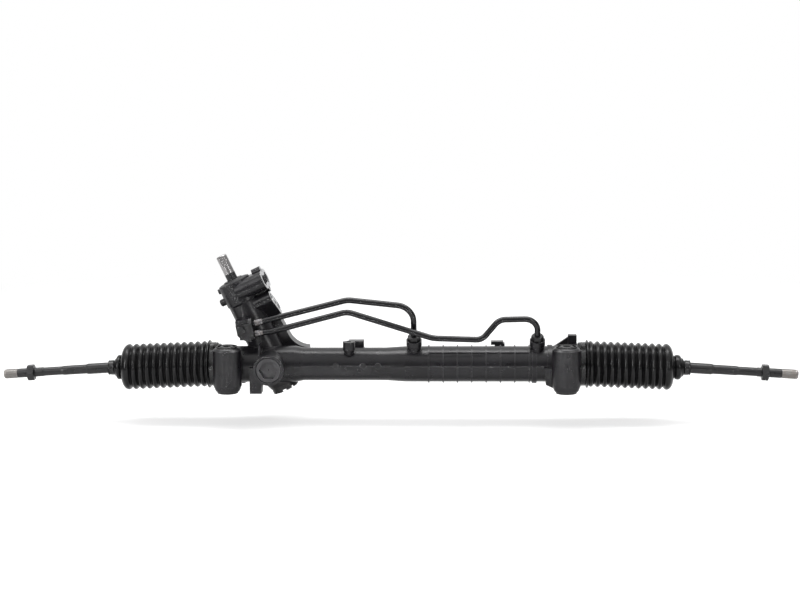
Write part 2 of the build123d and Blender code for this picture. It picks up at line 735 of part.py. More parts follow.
def pinion_bores():
    """Stepped bore of the tower, in the tower's frame."""
    return TOWER * spun(
        (0, TOWER_BOTTOM - 1),
        (BALL_BEARING_R + SEATED, TOWER_BOTTOM - 1),
        (BALL_BEARING_R + SEATED, MESH_FLOOR),
        (MESH_BORE_R, MESH_FLOOR),
        (MESH_BORE_R, MESH_TOP),
        (NEEDLE_BEARING_R + SEATED, MESH_TOP),
        (NEEDLE_BEARING_R + SEATED, VALVE_FLOOR),
        (VALVE_BORE_R, VALVE_FLOOR),
        (VALVE_BORE_R, SHAFT_BEARING_LEVEL),
        (SHAFT_BEARING_R + SEATED, SHAFT_BEARING_LEVEL),
        (SHAFT_BEARING_R + SEATED, TOWER_TOP + 1),
        (0, TOWER_TOP + 1),
    ) + TOWER * post(END_CAP_R + 1, TOWER_BOTTOM - 10, TOWER_BOTTOM)


def flange_pocket():
    """Figure-of-eight pocket of the flange, its window to the valve and two screw holes."""
    pocket = Pos(0, FLANGE_LEVEL) * Rectangle(FLANGE_SPREAD, POCKET_SLOT)
    for side in (-FLANGE_SPREAD / 2, FLANGE_SPREAD / 2):
        pocket += Pos(side, FLANGE_LEVEL) * Circle(POCKET_R)
    cut = facing_flange(pocket, FLANGE_REACH - POCKET_DEPTH, FLANGE_REACH + 1)
    window = Pos(0, FLANGE_LEVEL - 3) * Rectangle(15, 9)
    cut += facing_flange(window, 8, FLANGE_REACH - POCKET_DEPTH + 1)
    holes = Sketch()
    for step in (-FLANGE_HOLE_OFFSET, FLANGE_HOLE_OFFSET):
        holes += Pos(0, FLANGE_LEVEL + step) * Circle(FLANGE_HOLE_R)
    return TOWER * (cut + facing_flange(holes, FLANGE_REACH - 12, FLANGE_REACH + 1))


def hose_port_bores():
    """Threaded mouths and drillings of the two hose ports, and the clamp's bolt hole."""
    cut = Part()
    for side, level, radius in (
        (PRESSURE_SIDE, PRESSURE_LEVEL, PRESSURE_PORT_R),
        (RETURN_SIDE, RETURN_LEVEL, RETURN_PORT_R),
    ):
        thread_end = PORT_FACE - HOSE_PORT_THREAD
        mouth = Pos(side, level) * Circle(radius)
        cut += facing_flange(mouth, thread_end, PORT_FACE + 1)
        pocket = Pos(side, level) * Circle(radius - HOSE_SEAT_STEP)
        cut += facing_flange(pocket, thread_end - HOSE_SEAT, thread_end + 1)
        drilling = Pos(side, level) * Circle(2.5)
        cut += facing_flange(drilling, 12, thread_end - HOSE_SEAT + 1)
    bolt = Pos(0, HOSE_BOLT_LEVEL) * Circle(HOSE_BOLT_R)
    return TOWER * (cut + facing_flange(bolt, PORT_FACE - 14, PORT_FACE + 1))


def yoke_bores():
    """Bore for the yoke and the wider one for its threaded plug."""
    rim = RACK_Y - YOKE_FACE
    return YOKE_AXIS * spun(
        (0, 0),
        (YOKE_R + RUNNING, 0),
        (YOKE_R + RUNNING, rim - YOKE_PLUG_DEPTH),
        (YOKE_PLUG_R + SEATED, rim - YOKE_PLUG_DEPTH),
        (YOKE_PLUG_R + SEATED, rim + 1),
        (0, rim + 1),
    )


def port_bores():
    """Cups for the tube nuts and drillings into the cylinder."""
    cut = Part()
    for x in PORT_X:
        cut += port_axis(x) * (
            post(PORT_CUP_R, PORT_REACH - PORT_CUP, PORT_REACH + 1)
            + post(PIPE_HOLE_R, PIPE_END - 0.5, PORT_REACH)
            + post(PIPE_BORE_R, CYLINDER_BORE_R - 4, PORT_REACH)
        )
    return cut


def boot_room(side):
    """Room for a boot's cuff where the eye would reach into it."""
    start = BOOT_START - APART
    return along_rack(side) * pipe(BOOT_CUFF_R + 2 * APART, SEAT_BEAD_R, start, HOUSING_HALF)


def rack_housing():
    """The whole casting."""
    body = tube_body() + cylinder_ribs() + tube_ledge()
    for _, side in SIDES:
        body += mounting_eye(side)
    body += tower_body()
    body += tower_web()
    body += yoke_boss()
    body += pipe_boss()
    body += lugs()
    body += cylinder_ports()
    body -= rack_bores()
    body -= pinion_bores()
    body -= flange_pocket()
    body -= hose_port_bores()
    body -= yoke_bores()
    body -= port_bores()
    for _, side in SIDES:
        x = side * BUSH_SPAN / 2
        body -= Pos(x, 0, 0) * post(BUSH_OUTER_R + SEATED, 0, BUSH_HEIGHT)
        body -= boot_room(side)
    for route in (LONG_ROUTE, SHORT_ROUTE):
        start = Vector(*route[0])
        toward = Vector(*route[1]) - start
        body -= Plane(origin=start, z_dir=toward) * post(PIPE_HOLE_R, -0.5, 25)
    body -= Pos(*CLIP_BOSS) * post(CLIP_HOLE_R, CLIP_BOSS_TOP - CLIP_HOLE, CLIP_BOSS_TOP + 1)
    body -= bracket_bolt_axis() * post(BRACKET_BOLT_R + SEATED, -BRACKET_TAB - 14, 0)
    return body


# ---------------------------------------------------------------- mounting bushes
def bush_outer_sleeve():
    """Thin steel sleeve pressed into an eye, with a rolled collar at each mouth."""
    return pipe(BUSH_OUTER_R, BUSH_RUBBER_R, 0, BUSH_HEIGHT)


def bush_rubber():
    """Rubber bonded between the two sleeves, dished at both ends."""
    dish = 5
    return spun(
        (BUSH_INNER_R, 1),
        (BUSH_INNER_R, BUSH_HEIGHT - 1),
        (BUSH_INNER_R + 1, BUSH_HEIGHT - 1),
        (BUSH_INNER_R + 2, BUSH_HEIGHT - dish),
        (BUSH_RUBBER_R, BUSH_HEIGHT - dish + 3),
        (BUSH_RUBBER_R, dish - 3),
        (BUSH_INNER_R + 2, dish),
        (BUSH_INNER_R + 1, 1),
    )


def bush_inner_sleeve():
    """Thick steel sleeve that the mounting bolt goes through."""
    edge = 0.6
    return spun(
        (BUSH_BOLT_R, 0),
        (BUSH_INNER_R - edge, 0),
        (BUSH_INNER_R, edge),
        (BUSH_INNER_R, BUSH_HEIGHT - edge),
        (BUSH_INNER_R - edge, BUSH_HEIGHT),
        (BUSH_BOLT_R, BUSH_HEIGHT),
    )


def write_bushes():
    """Both mounting bushes."""
    for name, side in SIDES:
        place = Pos(side * BUSH_SPAN / 2, 0, 0)
        write(f"{name}_bush_outer_sleeve", place * bush_outer_sleeve())
        write(f"{name}_bush_rubber", place * bush_rubber())
        write(f"{name}_bush_inner_sleeve", place * bush_inner_sleeve())


# ---------------------------------------------------------------- yoke
def yoke():
    """Rack guide: a plunger with a saddle that bears on the rack's round back."""
    rim = RACK_Y - YOKE_FACE
    back = rim - YOKE_PLUG_DEPTH - YOKE_PLAY
    plunger = spun(
        (0, 4),
        (YOKE_R - 1, 4),
        (YOKE_R, 5),
        (YOKE_R, back - 8),
        (YOKE_R - 1.6, back - 8),
        (YOKE_R - 1.6, back - 5),
        (YOKE_R, back - 5),
        (YOKE_R, back),
        (SPRING_POCKET_R, back),
        (SPRING_POCKET_R, back - SPRING_POCKET),
        (0, back - SPRING_POCKET),
    )
    saddle = Rot(Y=90) * Cylinder(RACK_R + RUNNING, 3 * YOKE_R)
    return YOKE_AXIS * (plunger - saddle)


def yoke_o_ring():
    """O-ring in the yoke's groove."""
    back = RACK_Y - YOKE_FACE - YOKE_PLUG_DEPTH - YOKE_PLAY
    return YOKE_AXIS * pipe(YOKE_R, YOKE_R - 1.55, back - 7.6, back - 5.4)


def yoke_spring():
    """Stack of coned disc springs between the yoke and its plug."""
    back = RACK_Y - YOKE_FACE - YOKE_PLUG_DEPTH - YOKE_PLAY
    start = back - SPRING_POCKET
    length = 2 * SPRING_POCKET + YOKE_PLAY
    height = length / SPRING_DISCS
    outer = SPRING_POCKET_R - APART
    discs = []
    for i in range(SPRING_DISCS):
        low = start + i * height + SEATED
        high = low + height - SPRING_SHEET - 2 * SEATED
        rim, hub = (low, high) if i % 2 else (high, low)
        disc = spun(
            (SPRING_HOLE_R, hub),
            (outer, rim),
            (outer, rim + SPRING_SHEET),
            (SPRING_HOLE_R, hub + SPRING_SHEET),
        )
        discs.append(YOKE_AXIS * disc)
    return discs


def yoke_plug():
    """Threaded adjuster plug with a deep hexagon socket and a spring pocket."""
    rim = RACK_Y - YOKE_FACE
    seat = rim - YOKE_PLUG_DEPTH
    face = rim - 1.2
    plug = spun(
        (0, seat + SPRING_POCKET),
        (SPRING_POCKET_R, seat + SPRING_POCKET),
        (SPRING_POCKET_R, seat),
        (YOKE_PLUG_R - 1.5, seat),
        (YOKE_PLUG_R, seat + 1.5),
        (YOKE_PLUG_R, face - 1),
        (YOKE_PLUG_R - 1, face),
        (0, face),
    )
    socket = Pos(0, 0, face - 6.5) * extrude(RegularPolygon(YOKE_HEX / sqrt(3), 6), 8)
    dimple = Pos(0, 0, face - 6.5) * Cone(0.2, 2, 1.6)
    return YOKE_AXIS * (plug - socket - dimple)


# ---------------------------------------------------------------- tower pieces
def input_dust_cap():
    """Cover over the top bearing and seal, with a stepped dome."""
    return TOWER * spun(
        (SHAFT_JOURNAL_R + APART, CAP_TOP - 1.5),
        (SHAFT_JOURNAL_R + APART, CAP_TOP),
        (14, CAP_TOP),
        (15.5, CAP_TOP - 1.5),
        (21, CAP_TOP - 2),
        (24, TOWER_TOP + 1.5),
        (24, TOWER_TOP),
        (SHAFT_BEARING_R - 0.5, TOWER_TOP),
        (SHAFT_BEARING_R - 0.5, CAP_TOP - 3),
    )


def ring_in_tower(outer, inner, start, end):
    """Plain turned ring on the pinion's axis."""
    return TOWER * pipe(outer, inner, start, end)


def lip_seal(outer, inner, start, end):
    """Rotary shaft seal in section: a case with a lip that narrows to the shaft."""
    return TOWER * spun(
        (outer, start),
        (outer, end),
        (inner + 2, end),
        (inner, (start + end) / 2),
        (inner + 3, start + 1.5),
        (outer - 2, start + 1.5),
        (outer - 2, start),
    )


def pinion_end_cap():
    """Threaded cap under the pinion with a castellated rim."""
    rim_r = END_CAP_R
    top = MESH_FLOOR - BALL_BEARING - SEATED
    cap = spun(
        (0, TOWER_BOTTOM),
        (BALL_BEARING_R, TOWER_BOTTOM),
        (BALL_BEARING_R, top),
        (BALL_BEARING_R - 2.6, top),
        (BALL_BEARING_R - 2.6, TOWER_BOTTOM + 1),
        (0, TOWER_BOTTOM + 1),
    )
    cap += spun(
        (0, TOWER_BOTTOM - 9),
        (rim_r - 1.5, TOWER_BOTTOM - 9),
        (rim_r, TOWER_BOTTOM - 8),
        (rim_r, TOWER_BOTTOM),
        (0, TOWER_BOTTOM),
    )
    cap -= post(rim_r - 5, TOWER_BOTTOM - 10, TOWER_BOTTOM - 5)
    notch = Pos(rim_r, 0, TOWER_BOTTOM - 8.5) * Box(14, 6, 5)
    for i in range(8):
        cap -= Rot(Z=45 * i) * notch
    return TOWER * cap


def involute_angle(radius):
    """Polar angle that the involute from the base circle reaches at a radius."""
    pressure = acos(BASE_R / radius)
    return tan(pressure) - pressure


def pinion_tooth_flank(sign, steps=5):
    """Points of one flank from the base circle to the tip, about the tooth's middle."""
    thickness = pi * PITCH_R / PINION_TEETH + 2 * PINION_SHIFT * tan(TRANSVERSE_ANGLE)
    half = thickness / 2 / PITCH_R + involute_angle(PITCH_R)
    points = []
    for i in range(steps + 1):
        radius = BASE_R + (PINION_TIP_R - BASE_R) * i / steps
        angle = sign * (half - involute_angle(radius))
        points.append((radius * cos(angle), radius * sin(angle)))
    return points


def pinion_section():
    """Cross-section of the pinion: involute teeth standing on the root circle."""
    right = pinion_tooth_flank(-1)
    left = pinion_tooth_flank(1)
    root_r = PINION_ROOT_R - 0.4
    start = Vector(*right[0]).normalized() * root_r
    end = Vector(*left[0]).normalized() * root_r
    outline = Line(start, right[0])
    outline += Spline(*right)
    outline += ThreePointArc(right[-1], (PINION_TIP_R, 0), left[-1])
    outline += Spline(*reversed(left))
    outline += Line(left[0], end)
    outline += Line(end, start)
    tooth = make_face(outline)
    section = Circle(PINION_ROOT_R)
    for i in range(PINION_TEETH):
        section += Rot(Z=360 * i / PINION_TEETH) * tooth
    return section


def pinion_teeth():
    """Helical teeth, one tooth's middle facing the rack at the rack's level."""
    twist = degrees(PINION_FACE * tan(HELIX) / PITCH_R)
    section = Pos(0, 0, -PINION_FACE / 2) * Rot(Z=-90 - twist / 2) * pinion_section()
    outline = section.face().outer_wire()
    centre = (0, 0, -PINION_FACE / 2)
    return Solid.extrude_linear_with_rotation(outline, centre, (0, 0, PINION_FACE), twist)


def pinion():
    """Pinion with its journals, the flange under the sleeve and the pilot bore."""
    foot = MESH_FLOOR - BALL_BEARING - 6.5
    lower = spun(
        (0, foot),
        (BALL_BEARING_BORE_R - 1, foot),
        (BALL_BEARING_BORE_R, foot + 1),
        (BALL_BEARING_BORE_R, -PINION_FACE / 2),
        (0, -PINION_FACE / 2),
    )
    upper = spun(
        (0, PINION_FACE / 2),
        (PINION_NECK_R, PINION_FACE / 2),
        (PINION_NECK_R, MESH_TOP - 2),
        (JOURNAL_R, MESH_TOP),
        (JOURNAL_R, SLEEVE_START - 4),
        (SPOOL_R + 3, SLEEVE_START - 4),
        (SPOOL_R + 3, SLEEVE_START),
        (SPOOL_R, SLEEVE_START),
        (SPOOL_R, SLEEVE_START + 6),
        (PILOT_R + RUNNING, SLEEVE_START + 6),
        (PILOT_R + RUNNING, 31),
        (TORSION_BAR_R + RUNNING, 31),
        (TORSION_BAR_R + RUNNING, 18),
        (0, 18),
    )
    return TOWER * (Part() + pinion_teeth() + lower + upper)


def pinion_nut():
    """Nut that holds the ball bearing on the pinion's foot."""
    top = MESH_FLOOR - BALL_BEARING - SEATED
    nut = hexagon(19, top - 5, top) - post(BALL_BEARING_BORE_R + SEATED, top - 6, top + 1)
    return TOWER * nut


def valve_sleeve():
    """Outer member of the rotary valve, grooved for its four seal rings."""
    sleeve = pipe(SLEEVE_R, SPOOL_R + RUNNING, SLEEVE_START, SLEEVE_END)
    for level in SLEEVE_RINGS:
        sleeve -= pipe(SLEEVE_R + 1, SLEEVE_R - 1.5, level - 1.2, level + 1.2)
    return TOWER * sleeve


def valve_sleeve_rings():
    """Four seal rings between the sleeve and the casting."""
    outer = VALVE_BORE_R - RUNNING
    return [TOWER * pipe(outer, SLEEVE_R - 1.48, z - 1.18, z + 1.18) for z in SLEEVE_RINGS]


def input_shaft():
    """Steering input shaft: pilot, spool and the stub with its clamp flat."""
    shaft = spun(
        (TORSION_BAR_R + 0.4, 32),
        (PILOT_R, 32),
        (PILOT_R, SLEEVE_START + 6.4),
        (SPOOL_R, SLEEVE_START + 6.4),
        (SPOOL_R, SLEEVE_END + 2),
        (SHAFT_JOURNAL_R, SLEEVE_END + 2),
        (SHAFT_JOURNAL_R, SHAFT_STEP),
        (SHAFT_R, SHAFT_STEP),
        (SHAFT_R, SHAFT_TIP - 1.2),
        (SHAFT_R - 1.2, SHAFT_TIP),
        (0, SHAFT_TIP),
        (0, SHAFT_TIP - 4),
        (TORSION_BAR_R + SEATED, SHAFT_TIP - 4),
        (TORSION_BAR_R + SEATED, 158),
        (TORSION_BAR_R + 0.4, 158),
    )
    flat = box((-SHAFT_R, SHAFT_R), (-SHAFT_R - 1, SHAFT_FLAT_DEPTH - SHAFT_R), (0, SHAFT_FLAT))
    shaft -= Pos(0, 0, SHAFT_TIP - SHAFT_FLAT) * flat
    return TOWER * (shaft - pin_across(TORSION_PIN_R + SEATED, SHAFT_R + 1))


def pin_across(radius, half):
    """Cylinder across the shaft where the torsion bar is pinned."""
    return Pos(0, 0, TORSION_PIN_LEVEL) * Rot(Y=90) * Cylinder(radius, 2 * half)


def torsion_bar():
    """Slender spring bar from the pinion up to the pin in the input shaft."""
    bar = spun(
        (0, 19),
        (TORSION_BAR_R, 19),
        (TORSION_BAR_R, 30),
        (TORSION_BAR_WAIST_R, 34),
        (TORSION_BAR_WAIST_R, 155),
        (TORSION_BAR_R, 159),
        (TORSION_BAR_R, SHAFT_TIP - 4.2),
        (0, SHAFT_TIP - 4.2),
    )
    return TOWER * (bar - pin_across(TORSION_PIN_R + SEATED, SHAFT_R))


# ---------------------------------------------------------------- rack and what it carries
def tooth_space():
    """Prism that cuts one space between two rack teeth, centred on X = 0."""
    slope = tan(radians(PRESSURE_ANGLE))
    half = TOOTH_PITCH / 4 + BACKLASH / 2
    low = half - RACK_DEDENDUM * slope
    high = half + (RACK_ADDENDUM + 1) * slope
    root = RACK_PITCH_LINE - RACK_DEDENDUM
    top = RACK_PITCH_LINE + RACK_ADDENDUM + 1
    corners = ((-low, root), (low, root), (high, top), (-high, top))
    return extrude(make_face(Polyline(*corners, close=True)), RACK_R, both=True)


def rack_bar():
    """Round bar with straight teeth on a flat that faces the pinion."""
    half = BALL_X - SOCKET_INNER
    bar = along_rack() * spun(
        (0, -half),
        (RACK_R - 1, -half),
        (RACK_R, 1 - half),
        (RACK_R, half - 1),
        (RACK_R - 1, half),
        (0, half),
    )
    for _, side in SIDES:
        bar -= along_rack(side) * post(STUD_R + SEATED, half - STUD - 1, half + 1)
    reach = RACK_TOOTH_COUNT / 2 * TOOTH_PITCH
    tip = RACK_PITCH_LINE + RACK_ADDENDUM
    flat = box((-reach, reach), (tip, RACK_R + 1), (-RACK_R - 1, RACK_R + 1))
    bar -= Pos(PINION_X, RACK_Y, RACK_Z) * flat
    space = tooth_space()
    for i in range(RACK_TOOTH_COUNT):
        x = PINION_X + (i - RACK_TOOTH_COUNT // 2) * TOOTH_PITCH
        bar -= Pos(x, RACK_Y, RACK_Z) * space
    return bar


def piston():
    """Piston fixed on the rack midway between the ports."""
    outer = CYLINDER_BORE_R - 0.6
    body = spun(
        (RACK_R + SEATED, -8),
        (outer - 1, -8),
        (outer, -7),
        (outer, -1.6),
        (outer - 2, -1.6),
        (outer - 2, 1.6),
        (outer, 1.6),
        (outer, 7),
        (outer - 1, 8),
        (RACK_R + SEATED, 8),
    )
    return along_rack() * Pos(0, 0, PISTON_X) * body


def piston_ring():
    """Seal ring in the piston's groove."""
    ring = pipe(CYLINDER_BORE_R - RUNNING, CYLINDER_BORE_R - 2.58, -1.55, 1.55)
    return along_rack() * Pos(0, 0, PISTON_X) * ring


def ball_socket(side):
    """Socket of the inner ball joint with its stud in the rack's end and two flats."""
    inner = -SOCKET_INNER
    body = spun(
        (0, inner - STUD),
        (STUD_R - 1, inner - STUD),
        (STUD_R, inner - STUD + 1),
        (STUD_R, inner),
        (SOCKET_R - 2, inner),
        (SOCKET_R, inner + 2),
        (SOCKET_R, 3),
        (SOCKET_R - 2.5, SOCKET_OUTER),
        (BALL_R + 1, SOCKET_OUTER),
        (BALL_R - 1.0, 5.5),
        (LINER_R + SEATED, 4.9),
        (LINER_R + SEATED, LINER_FLOOR - SEATED),
        (0, LINER_FLOOR - SEATED),
    )
    for turn in (0, 180):
        body -= Rot(Z=turn) * box((SOCKET_R - 2, SOCKET_R + 1), (-15, 15), (inner, inner + 9))
    return along_rack(side) * Pos(0, 0, BALL_X) * body


def socket_liner(side):
    """Plastic cup between the ball and its socket."""
    cup = post(LINER_R, LINER_FLOOR, 4.8) - Sphere(BALL_R + RUNNING)
    return along_rack(side) * Pos(0, 0, BALL_X) * cup


# ---------------------------------------------------------------- tie rods
def tie_rod(side):
    """Inner tie rod: ball, neck, boot seat, wrench flats, shank and threaded end."""
    end = ROD_LENGTH
    bare = ROD_BARE[0 if side < 0 else 1]
    rod = spun(
        (0, 5),
        (ROD_FLAT_R, 5),
        (ROD_FLAT_R, 14),
        (ROD_BOOT_R, 18),
        (ROD_BOOT_R, end - 128),
        (ROD_FLAT_R, end - 125),
        (ROD_FLAT_R, end - 91),
        (ROD_SHANK_R, end - 88),
        (ROD_SHANK_R, end - 61),
        (ROD_THREAD_R, end - 59),
        (ROD_THREAD_R, end - bare - ROD_RELIEF),
        (ROD_THREAD_R - 0.5, end - bare - ROD_RELIEF),
        (ROD_THREAD_R - 0.5, end - bare),
        (ROD_THREAD_R, end - bare),
        (ROD_THREAD_R, end - 1.5),
        (ROD_THREAD_R - 1.5, end),
        (0, end),
    )
    rod += Sphere(BALL_R)
    for turn in (0, 180):
        flat = box((ROD_FLAT_R - 0.9, ROD_BOOT_R), (-8, 8), (end - 120, end - 96))
        rod -= Rot(Z=turn) * flat
    return rod_axis(side) * rod


def jam_nut(side):
    """Hex lock nut on the tie rod's thread."""
    middle = ROD_LENGTH - JAM_NUT_TIP[0 if side < 0 else 1]
    nut = hexagon(JAM_NUT_AF, middle - 5, middle + 5)
    return rod_axis(side) * (nut - post(ROD_THREAD_R + SEATED, middle - 6, middle + 6))


# ---------------------------------------------------------------- boots
def boot_cuff(side):
    """Straight cuff of a boot over the casting's seat and bead."""
    bead = HOUSING_HALF - SEAT_BEAD - 0.5 - APART
    return along_rack(side) * spun(
        (SEAT_R + APART, BOOT_START),
        (BOOT_CUFF_R, BOOT_START),
        (BOOT_CUFF_R, BOOT_START + BOOT_CUFF),
        (BOOT_CUFF_R + 0.5, HOUSING_HALF + 1),
        (SEAT_BEAD_R + APART, HOUSING_HALF + 1),
        (SEAT_BEAD_R + APART, bead),
        (SEAT_R + APART, bead),
    )


def boot(side):
    """Concertina boot: cuff, convolutions, a domed end, a small fold and the neck."""
    wall = BOOT_WALL
    start = HOUSING_HALF - BOOT_START
    first = BOOT_FIRST_CREST - BOOT_START
    broad = BOOT_PITCH * 0.3
    outer = [(BOOT_CUFF_R + 1, start)]
    inner = [(BOOT_CUFF_R + 1 - wall, start)]
    for i in range(BOOT_CRESTS):
        crest = first + i * BOOT_PITCH
        outer += [(BOOT_CREST_R - 0.8, crest - broad), (BOOT_CREST_R, crest)]
        inner += [(BOOT_CREST_R - wall, crest)]
        if i < BOOT_CRESTS - 1:
            outer += [(BOOT_CREST_R - 0.8, crest + broad), (BOOT_ROOT_R, crest + BOOT_PITCH / 2)]
            inner += [(BOOT_ROOT_R - wall, crest + BOOT_PITCH / 2)]
    last = first + (BOOT_CRESTS - 1) * BOOT_PITCH
    fold = last + BOOT_DOME
    small = fold + BOOT_SMALL
    waist = BOOT_SMALL_R - 2.6
    end = [
        (BOOT_CREST_R - 1.6, last + 4),
        (BOOT_CREST_R - 6, last + 8.2),
        (BOOT_CREST_R - 13, last + BOOT_DOME - 1),
        (waist, fold),
        (BOOT_SMALL_R, fold + 3),
        (BOOT_SMALL_R, small - 4),
        (BOOT_SMALL_R - 2, small - 1.4),
        (BOOT_NECK_R + 2, small),
    ]
    outer += end
    inner += [(r - wall, z - wall / 2) for r, z in end]
    length = BOOT_END - BOOT_START
    bore = ROD_BOOT_R + APART
    outer += [(BOOT_NECK_R, small + 1), (BOOT_NECK_R, length)]
    inner += [(bore, small + 1), (bore, length)]
    return boot_cuff(side) + boot_axis(side) * spun(*outer, *reversed(inner))


def big_clamp(side):
    """Band round the boot's cuff with its crimped ear."""
    middle = BOOT_CUFF - 4
    band = pipe(BOOT_CUFF_R + 0.9, BOOT_CUFF_R + SEATED, middle - 4, middle + 4)
    ear = Pos(BOOT_CUFF_R + 2.4, 0, middle) * (Box(4, 9, 6) - Pos(-0.6, 0, 0) * Box(2.4, 7, 7))
    return along_rack(side) * Pos(0, 0, BOOT_START) * (band + Rot(Z=90 + 30 * side) * ear)


def small_clamp(side):
    """Spring band round the boot's neck, carried with the tie rod."""
    middle = (BOOT_END - BOOT_NECK / 2 - BALL_X) / cos(radians(ROD_DROOP))
    inner = BOOT_NECK_R + APART
    band = pipe(inner + 0.8, inner, middle - 3.5, middle + 3.5)
    ear = Pos(inner + 1.8, 0, middle) * Box(3, 5, 5)
    return rod_axis(side) * (band + Rot(Z=-90 - 40 * side) * ear)


# ---------------------------------------------------------------- right-hand end of the cylinder
def inner_rack_seal():
    """Seal at the closed end of the cylinder."""
    start = CYLINDER_START + SEATED
    return along_rack() * spun(
        (RACK_R + 2, start),
        (CYLINDER_BORE_R - SEATED, start),
        (CYLINDER_BORE_R - SEATED, start + 7),
        (RACK_R + 3, start + 7),
        (RACK_R + RUNNING, start + 4),
    )


def end_gland():
    """Gland that closes the cylinder and carries the outer seal and the rack's bush."""
    start = GLAND_START
    end = CIRCLIP_X - SEATED
    bore = RACK_R + 0.4
    return along_rack() * spun(
        (SEAL_R + SEATED, start),
        (CYLINDER_BORE_R - SEATED, start),
        (CYLINDER_BORE_R - SEATED, end),
        (bore, end),
        (bore, end - 3),
        (RACK_BUSH_R + SEATED, end - 3),
        (RACK_BUSH_R + SEATED, start + 11),
        (bore, start + 11),
        (bore, start + 7),
        (SEAL_R + SEATED, start + 7),
    )


def outer_rack_seal():
    """Lip seal in the gland, facing the pressure."""
    return along_rack() * spun(
        (RACK_R + 2, GLAND_START),
        (SEAL_R, GLAND_START),
        (SEAL_R, GLAND_START + 6.9),
        (RACK_R + 1, GLAND_START + 6.9),
        (RACK_R + RUNNING, GLAND_START + 3),
    )


def rack_bush():
    """Plain bush that steadies the rack in the gland."""
    start = GLAND_START + 11.1
    return along_rack() * pipe(RACK_BUSH_R, RACK_R + RUNNING, start, CIRCLIP_X - 3.2)


def gland_circlip():
    """Open retaining ring in the bore's groove."""
    ring = pipe(CYLINDER_BORE_R + 0.9, CYLINDER_BORE_R - 2.2, 0.1, CIRCLIP_WIDTH - 0.1)
    ring -= Pos(0, CYLINDER_BORE_R, 1) * Box(9, 8, 4)
    return along_rack() * Pos(0, 0, CIRCLIP_X) * ring


# ---------------------------------------------------------------- pipes and their fittings
def fluid_pipe(route, bends):
    """Steel pipe along its route of straight runs and bends."""
    path = FilletPolyline(*route, radius=bends)
    section = Plane(path ^ 0) * (Circle(PIPE_R) - Circle(PIPE_BORE_R))
    return sweep(section, path)


def pipe_nuts():
    """Hex nuts on the pipes at the cylinder, and their collars at the tower."""
    nuts = []
    bottom = PORT_REACH - PORT_CUP
    for x in PORT_X:
        nut = hexagon(PORT_NUT_AF, bottom, bottom + PORT_NUT)
        nut -= post(PIPE_R + SEATED, bottom - 1, bottom + PORT_NUT + 1)
        nuts.append(port_axis(x) * nut)
    for route in (SHORT_ROUTE, LONG_ROUTE):
        collar = spun(
            (PIPE_R + SEATED, 15),
            (PIPE_R + 1.2, 15),
            (PIPE_R + 1.2, 22),
            (PIPE_R + 0.5, 23),
            (PIPE_R + 0.5, 27),
            (PIPE_R + SEATED, 27),
        )
        nuts.append(route_start(route) * collar)
    return nuts


def route_start(route):
    """Frame on the first point of a pipe's route, +Z along its first run."""
    start = Vector(*route[0])
    return Plane(origin=start, z_dir=Vector(*route[1]) - start)


def pipe_bracket():
    """Bent plate: an oblong face that both pipes pass through, and a tab for the bolt."""
    oblong = Rot(Z=90) * SlotCenterToCenter(BRACKET_SPREAD, 2 * BRACKET_R)
    plate = extrude(oblong, BRACKET_PLATE)
    front = PAD[0] - BRACKET_TAB
    tab = box((front, PAD[0]), (BRACKET_BOLT - 8, BRACKET_BOLT + 8), (-PAD_DEPTH, BRACKET_PLATE))
    bracket = BRACKET * (plate + tab)
    for route in (SHORT_ROUTE, LONG_ROUTE):
        bracket -= route_start(route) * post(PIPE_R + 0.2, 0, 30)
    return bracket - bracket_bolt_axis() * post(BRACKET_BOLT_R + 0.1, -6, 1)


def pipe_bracket_bolt():
    """Flanged hex bolt through the bracket's tab."""
    bolt = post(BRACKET_BOLT_R, -BRACKET_TAB - 13, 1) + post(6.2, 0, 1.2) + hexagon(10, 1, 5)
    return bracket_bolt_axis() * bolt


def port_seat(side, level, radius):
    """Tapered seat pressed in the bottom of a hose port."""
    top = PORT_FACE - HOSE_PORT_THREAD
    floor = top - HOSE_SEAT
    outer = radius - HOSE_SEAT_STEP - SEATED
    seat = spun((2.5, floor), (outer, floor), (outer, top - 4), (3.2, top - 0.2), (2.5, top - 0.2))
    turned = Plane(origin=(0, side, level), x_dir=(0, 1, 0), z_dir=(1, 0, 0))
    return TOWER * turned * seat


# ---------------------------------------------------------------- everything
def write_tower_pieces():
    """Shafts, bearings, seals and covers of the pinion tower."""
    write("input_dust_cap", input_dust_cap())
    write("input_shaft_seal", lip_seal(SHAFT_BEARING_R, SHAFT_JOURNAL_R + RUNNING, 129.2, 133.9))
    top = SHAFT_BEARING_LEVEL + 7
    bearing = ring_in_tower(SHAFT_BEARING_R, SHAFT_JOURNAL_R + RUNNING, SHAFT_BEARING_LEVEL, top)
    write("input_shaft_bearing", bearing)
    needle_top = MESH_TOP + NEEDLE_BEARING
    write(
        "pinion_seal",
        lip_seal(NEEDLE_BEARING_R, JOURNAL_R + RUNNING, needle_top + 0.3, needle_top + 7.5),
    )
    write(
        "pinion_needle_bearing",
        ring_in_tower(NEEDLE_BEARING_R, JOURNAL_R + RUNNING, MESH_TOP, needle_top),
    )
    ball_bottom = MESH_FLOOR - BALL_BEARING
    write(
        "pinion_ball_bearing",
        ring_in_tower(BALL_BEARING_R, BALL_BEARING_BORE_R + RUNNING, ball_bottom, MESH_FLOOR),
    )
    write("pinion_end_cap", pinion_end_cap())
    write("pinion", pinion())
    write("pinion_nut", pinion_nut())
    write("valve_sleeve", valve_sleeve())
    write("valve_sleeve_rings", Compound(children=valve_sleeve_rings()))
    write("input_shaft", input_shaft())
    write("torsion_bar", torsion_bar())
    pin = TOWER * pin_across(TORSION_PIN_R, SHAFT_R - 0.4)
    write("torsion_bar_pin", pin)


